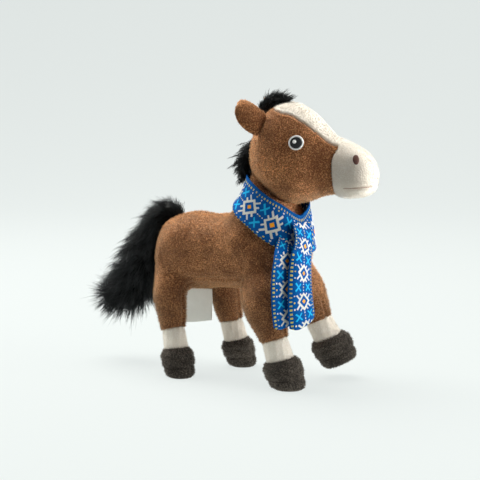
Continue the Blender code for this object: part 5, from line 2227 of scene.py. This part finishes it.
    def add(self, stretch: Stretch, grid: Array, wrap: bool = False) -> None:
        """Make one stretch of ribbon.

        Args:
            stretch: What it is.
            grid: Its middle surface, along by across.
            wrap: True for a closed loop, whose first row is repeated at its end.
        """
        cloth = Cloth.from_grid(grid)
        scale = np.array([stretch.close, 1.0])
        cloth.uv = self.millimetres(grid) * scale + [stretch.start, stretch.aside]
        mesh = cloth.mesh(stretch.name)
        if wrap:
            mend(mesh, merge=True)
        ribbon = FolkRibbon()
        piece = place_piece(stretch.name, mesh, ribbon.material(), stretch.body)
        give_wall(piece, self.thick, 0.0)
        if stretch.node:
            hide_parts(stretch.node)
        log.info("%s: %d faces", stretch.name, len(mesh.polygons))

    def tuck(self) -> None:
        """Make the stretch of the under end that comes out from below the band.

        Its rows run on a Bezier curve from the inside of the band down to the line
        where the under end hangs.
        """
        low = self.end_grid(self.under_shares, self.under_length, 0.0, self.under_curl)
        low = low[0] + joint_place("scarf_end_under_swing")
        inside = self.band_grid(25, 360, self.stand_off - 0.5 * MM)
        lower, row, upper = inside[4], inside[9], inside[12]
        over = np.array([0.0, 0.0, 7 * MM])
        ends = [np.linalg.norm(row - (p + over), axis=1).argmin() for p in (low[0], low[-1])]
        picks = np.linspace(*ends, self.columns).round().astype(int)
        high = row[picks]
        down = unit(lower[picks] - upper[picks])
        t = np.linspace(0, 1, 22)[:, None, None]
        reach = 5 * MM
        control = (high, high + reach * down, low + [0, 0, reach], low)
        weight = ((1 - t) ** 3, 3 * t * (1 - t) ** 2, 3 * t**2 * (1 - t), t**3)
        grid = sum(w * c for w, c in zip(weight, control))
        run = float(np.linalg.norm(np.diff(grid, axis=0), axis=2).sum(axis=0).mean())
        start = self.under_start - run / MM * self.loose
        rests = ["ribbon_band"]
        flat = (self.width, run)
        self.add(
            Stretch("ribbon_tuck", "body", None, flat, "gathered", rests, start, 0.0, self.loose),
            grid,
        )

    def build(self) -> None:
        """Make the band and the ends."""
        grid = self.band_grid(25, 220, self.stand_off + self.thick / 2)
        loop = np.concatenate([grid, grid[:, :1]], axis=1).transpose(1, 0, 2)
        flat = (self.width, float(np.linalg.norm(np.diff(loop[:, 12], axis=0), axis=1).sum()))
        rests, start, aside = ["plush_body"], self.band_start, self.band_aside
        band = Stretch("ribbon_band", "body", "scarf_band", flat, "gathered", rests, start, aside)
        self.add(band, loop, True)
        self.tuck()
        chest = self.band_grid(25, 32, self.stand_off + self.thick)[:, 16]
        bulge = chest[:, 0].max() - chest[-1, 0]
        rests = ["ribbon_band"]
        for kind, shares, length, curl, start in (
            ("front", self.front_shares, self.end_length, self.front_curl, self.front_start),
            ("under", self.under_shares, self.under_length, self.under_curl, self.under_start),
        ):
            node = f"scarf_end_{kind}"
            name = f"ribbon_end_{kind}"
            flat = (self.width, length)
            grid = self.end_grid(shares, length, bulge, curl) + joint_place(node + "_swing")
            self.add(Stretch(name, node, node, flat, "hung", rests, start, 0.0, self.loose), grid)


SCARF = Scarf()


@dataclass
class Label:
    """The bare satin label, folded over and sewn into the belly seam."""

    width: float = 26 * MM
    length: float = 28 * MM
    thick: float = 0.5 * MM
    bow: float = 1.6 * MM
    lift: float = 4.0 * MM

    def build(self) -> None:
        """Make the label: a sheet that bows, its front lower corner a little lifted."""
        down = np.linspace(0, 1, 30)[:, None]
        across = np.linspace(-1, 1, 28)[None]
        x = across * self.width / 2 + 0 * down
        y = self.bow * (1 - across**2) * down + 0.5 * MM * np.sin(down * 4) * down
        z = -down * self.length + self.lift * down * ((across + 1) / 2) ** 1.5
        grid = np.stack([x, y + 0 * x, z], axis=-1) + joint_place("care_label_swing")
        cloth = Cloth.from_grid(grid)
        cloth.uv = np.stack([x.ravel() / MM, z.ravel() / MM], axis=1)
        name = "satin_care_label"
        satin = Satin()
        piece = place_piece(name, cloth.mesh(name), satin.material(), "care_label")
        give_wall(piece, self.thick, 0.0)
        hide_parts("care_label")
        log.info("%s: %d faces", name, len(cloth.quads))


@dataclass(frozen=True)
class Lamp:
    """A square soft lamp: where it stands from the horse, its size and its light.

    It shines at the horse, or at a point `aim_up` metres above the middle of it. A
    spread narrows its beam to so many degrees.
    """

    name: str
    ahead: float
    left: float
    up: float
    size: float
    power: float
    colour: Colour
    aim_up: float = 0.0
    spread: float = 180.0

    def light(self, ahead: Vector, target: Vector) -> None:
        """Hang the lamp.

        Args:
            ahead: The way the camera looks, level.
            target: The middle of the horse.
        """
        left = Vector((-ahead.y, ahead.x, 0))
        up = Vector((0, 0, 1))
        place = ahead * self.ahead + left * self.left + up * self.up
        data = bpy.data.lights.new(self.name, "AREA")
        data.size = self.size
        data.energy = self.power
        data.color = self.colour
        data.spread = math.radians(self.spread)
        lamp = bpy.data.objects.new(self.name, data)
        lamp.location = target + place
        lamp.rotation_euler = (up * self.aim_up - place).to_track_quat("-Z", "Y").to_euler()
        bpy.context.scene.collection.objects.link(lamp)


LAMPS = (
    Lamp("key_lamp", 0.40, 0.35, 1.15, 1.1, 31.0, (1, 0.98, 0.94)),
    Lamp("right_lamp", -0.44, -0.87, 0.30, 0.5, 4.8, (1, 0.99, 0.97)),
    Lamp("chin_lamp", -0.05, -0.43, -0.07, 0.22, 0.45, (1, 0.98, 0.95), 0.07, 56.0),
    Lamp("left_lamp", 0.5, 1.1, 0.35, 0.9, 4.5, (1, 1, 1)),
)


@dataclass
class Studio:
    """Pale sweep, soft light from above and behind, and the camera."""

    azimuth: float = math.radians(36)
    elevation: float = math.radians(6.5)
    distance: float = 1.15
    view_width: float = 0.353
    sensor: float = 36.0
    target: tuple[float, float, float] = (float(SHIFT[0]), float(SHIFT[1]), 0.101)
    pale: Colour = (0.80, 0.845, 0.83)
    near_grey: Colour = (0.03, 0.03, 0.03)
    sky: Colour = (0.93, 0.97, 1.0)
    sky_level: float = 0.38
    sky_behind: float = 0.34
    bounce: float = 1.55
    wall_at: float = 1.2
    wall_radius: float = 1.6
    wall_top: float = 6.0
    reach: float = 30.0

    def forward(self) -> Vector:
        """The way the camera looks: by its azimuth, and down by its elevation."""
        level, turn = math.cos(self.elevation), self.azimuth
        return Vector((-math.sin(turn) * level, math.cos(turn) * level, -math.sin(self.elevation)))

    def camera(self) -> None:
        """Place the camera at the photograph's angle."""
        data = bpy.data.cameras.new("photo_camera")
        data.sensor_width = self.sensor
        data.lens = self.sensor * self.distance / self.view_width
        data.clip_end = 50
        camera = bpy.data.objects.new("photo_camera", data)
        camera.location = Vector(self.target) - self.distance * self.forward()
        camera.rotation_euler = self.forward().to_track_quat("-Z", "Y").to_euler()
        bpy.context.scene.collection.objects.link(camera)
        bpy.context.scene.camera = camera

    def sweep(self) -> None:
        """A floor that curves up into a wall: flat, then a quarter circle, then upright.

        What the camera sees of it is mostly its own pale glow. What lights the horse
        is a bounce from behind, and a dark floor in front.
        """
        radius = self.wall_radius
        angle = np.linspace(0, math.pi / 2, 40)[1:]
        back = self.wall_at + radius
        curve = self.wall_at + radius * np.sin(angle)
        run = np.concatenate([[-self.reach, self.wall_at], curve, [back]])[:, None, None]
        rise = np.concatenate([[0, 0], radius * (1 - np.cos(angle)), [self.wall_top]])
        across = np.linspace(-self.reach, self.reach, 9)[:, None]
        forward = unit(np.array(self.forward()) * np.array([1, 1, 0]))
        aside = np.array([forward[1], -forward[0], 0.0])
        grid = run * forward + across * aside + rise[:, None, None] * np.array([0, 0, 1.0])
        graph = NodeGraph("pale_sweep")
        ray = graph.node("ShaderNodeLightPath", output="Is Camera Ray")
        seen = ray.most(ray.beside("Is Glossy Ray")).most(ray.beside("Is Transmission Ray"))
        plain = graph.node("ShaderNodeBsdfDiffuse", {"Color": self.pale})
        glow = graph.node("ShaderNodeEmission", {"Color": self.pale, "Strength": 1.0})
        dark = graph.node("ShaderNodeBsdfDiffuse", {"Color": self.near_grey})
        near = ((graph.facing(graph.place(), tuple(forward)) * -1.0 - 0.14) / 0.20).clamped()
        light = {"Color": self.pale, "Strength": self.bounce}
        bounce = graph.node("ShaderNodeEmission", light)
        unseen = graph.either(near, graph.either(0.65, plain, bounce), dark)
        shader = graph.either(seen, unseen, graph.either(0.87, plain, glow))
        graph.node("ShaderNodeOutputMaterial", {"Surface": shader})
        mesh = Cloth.from_grid(grid).mesh("pale_sweep")
        place_piece("pale_sweep", mesh, graph.material)

    def air(self, ahead: Vector) -> None:
        """Soft light from all round, brighter from behind the horse than from the camera.

        Args:
            ahead: The way the camera looks, level.
        """
        world = bpy.data.worlds.new("studio_air")
        bpy.context.scene.world = world
        graph = NodeGraph("studio_air", world)
        behind = graph.facing(graph.place("Generated"), tuple(ahead))
        light = {"Color": self.sky, "Strength": self.sky_level + behind * self.sky_behind}
        sky = graph.node("ShaderNodeBackground", light)
        pale = graph.node("ShaderNodeBackground", {"Color": self.pale, "Strength": 1.0})
        seen = graph.node("ShaderNodeLightPath", output="Is Camera Ray")
        graph.node("ShaderNodeOutputWorld", {"Surface": graph.either(seen, sky, pale)})

    def build(self) -> None:
        """Light and frame the scene."""
        ahead = self.forward()
        ahead.z = 0
        ahead.normalize()
        for lamp in LAMPS:
            lamp.light(ahead, Vector(self.target))
        self.air(ahead)
        bpy.context.scene.view_settings.view_transform = "Standard"
        self.camera()
        self.sweep()


def main() -> None:
    """Build every piece in order."""
    logging.basicConfig(level=logging.INFO, format="%(message)s")
    Studio().build()
    Body().build()
    for number, leg in enumerate(LEGS):
        leg.dress_foot(101 + 10 * number)
    HEAD.build()
    Face().build()
    for side in Side:
        Ear(side).build()
    for bunch in BUNCHES:
        bunch.build()
    SCARF.build()
    Label().build()


if __name__ == "__main__":
    main()
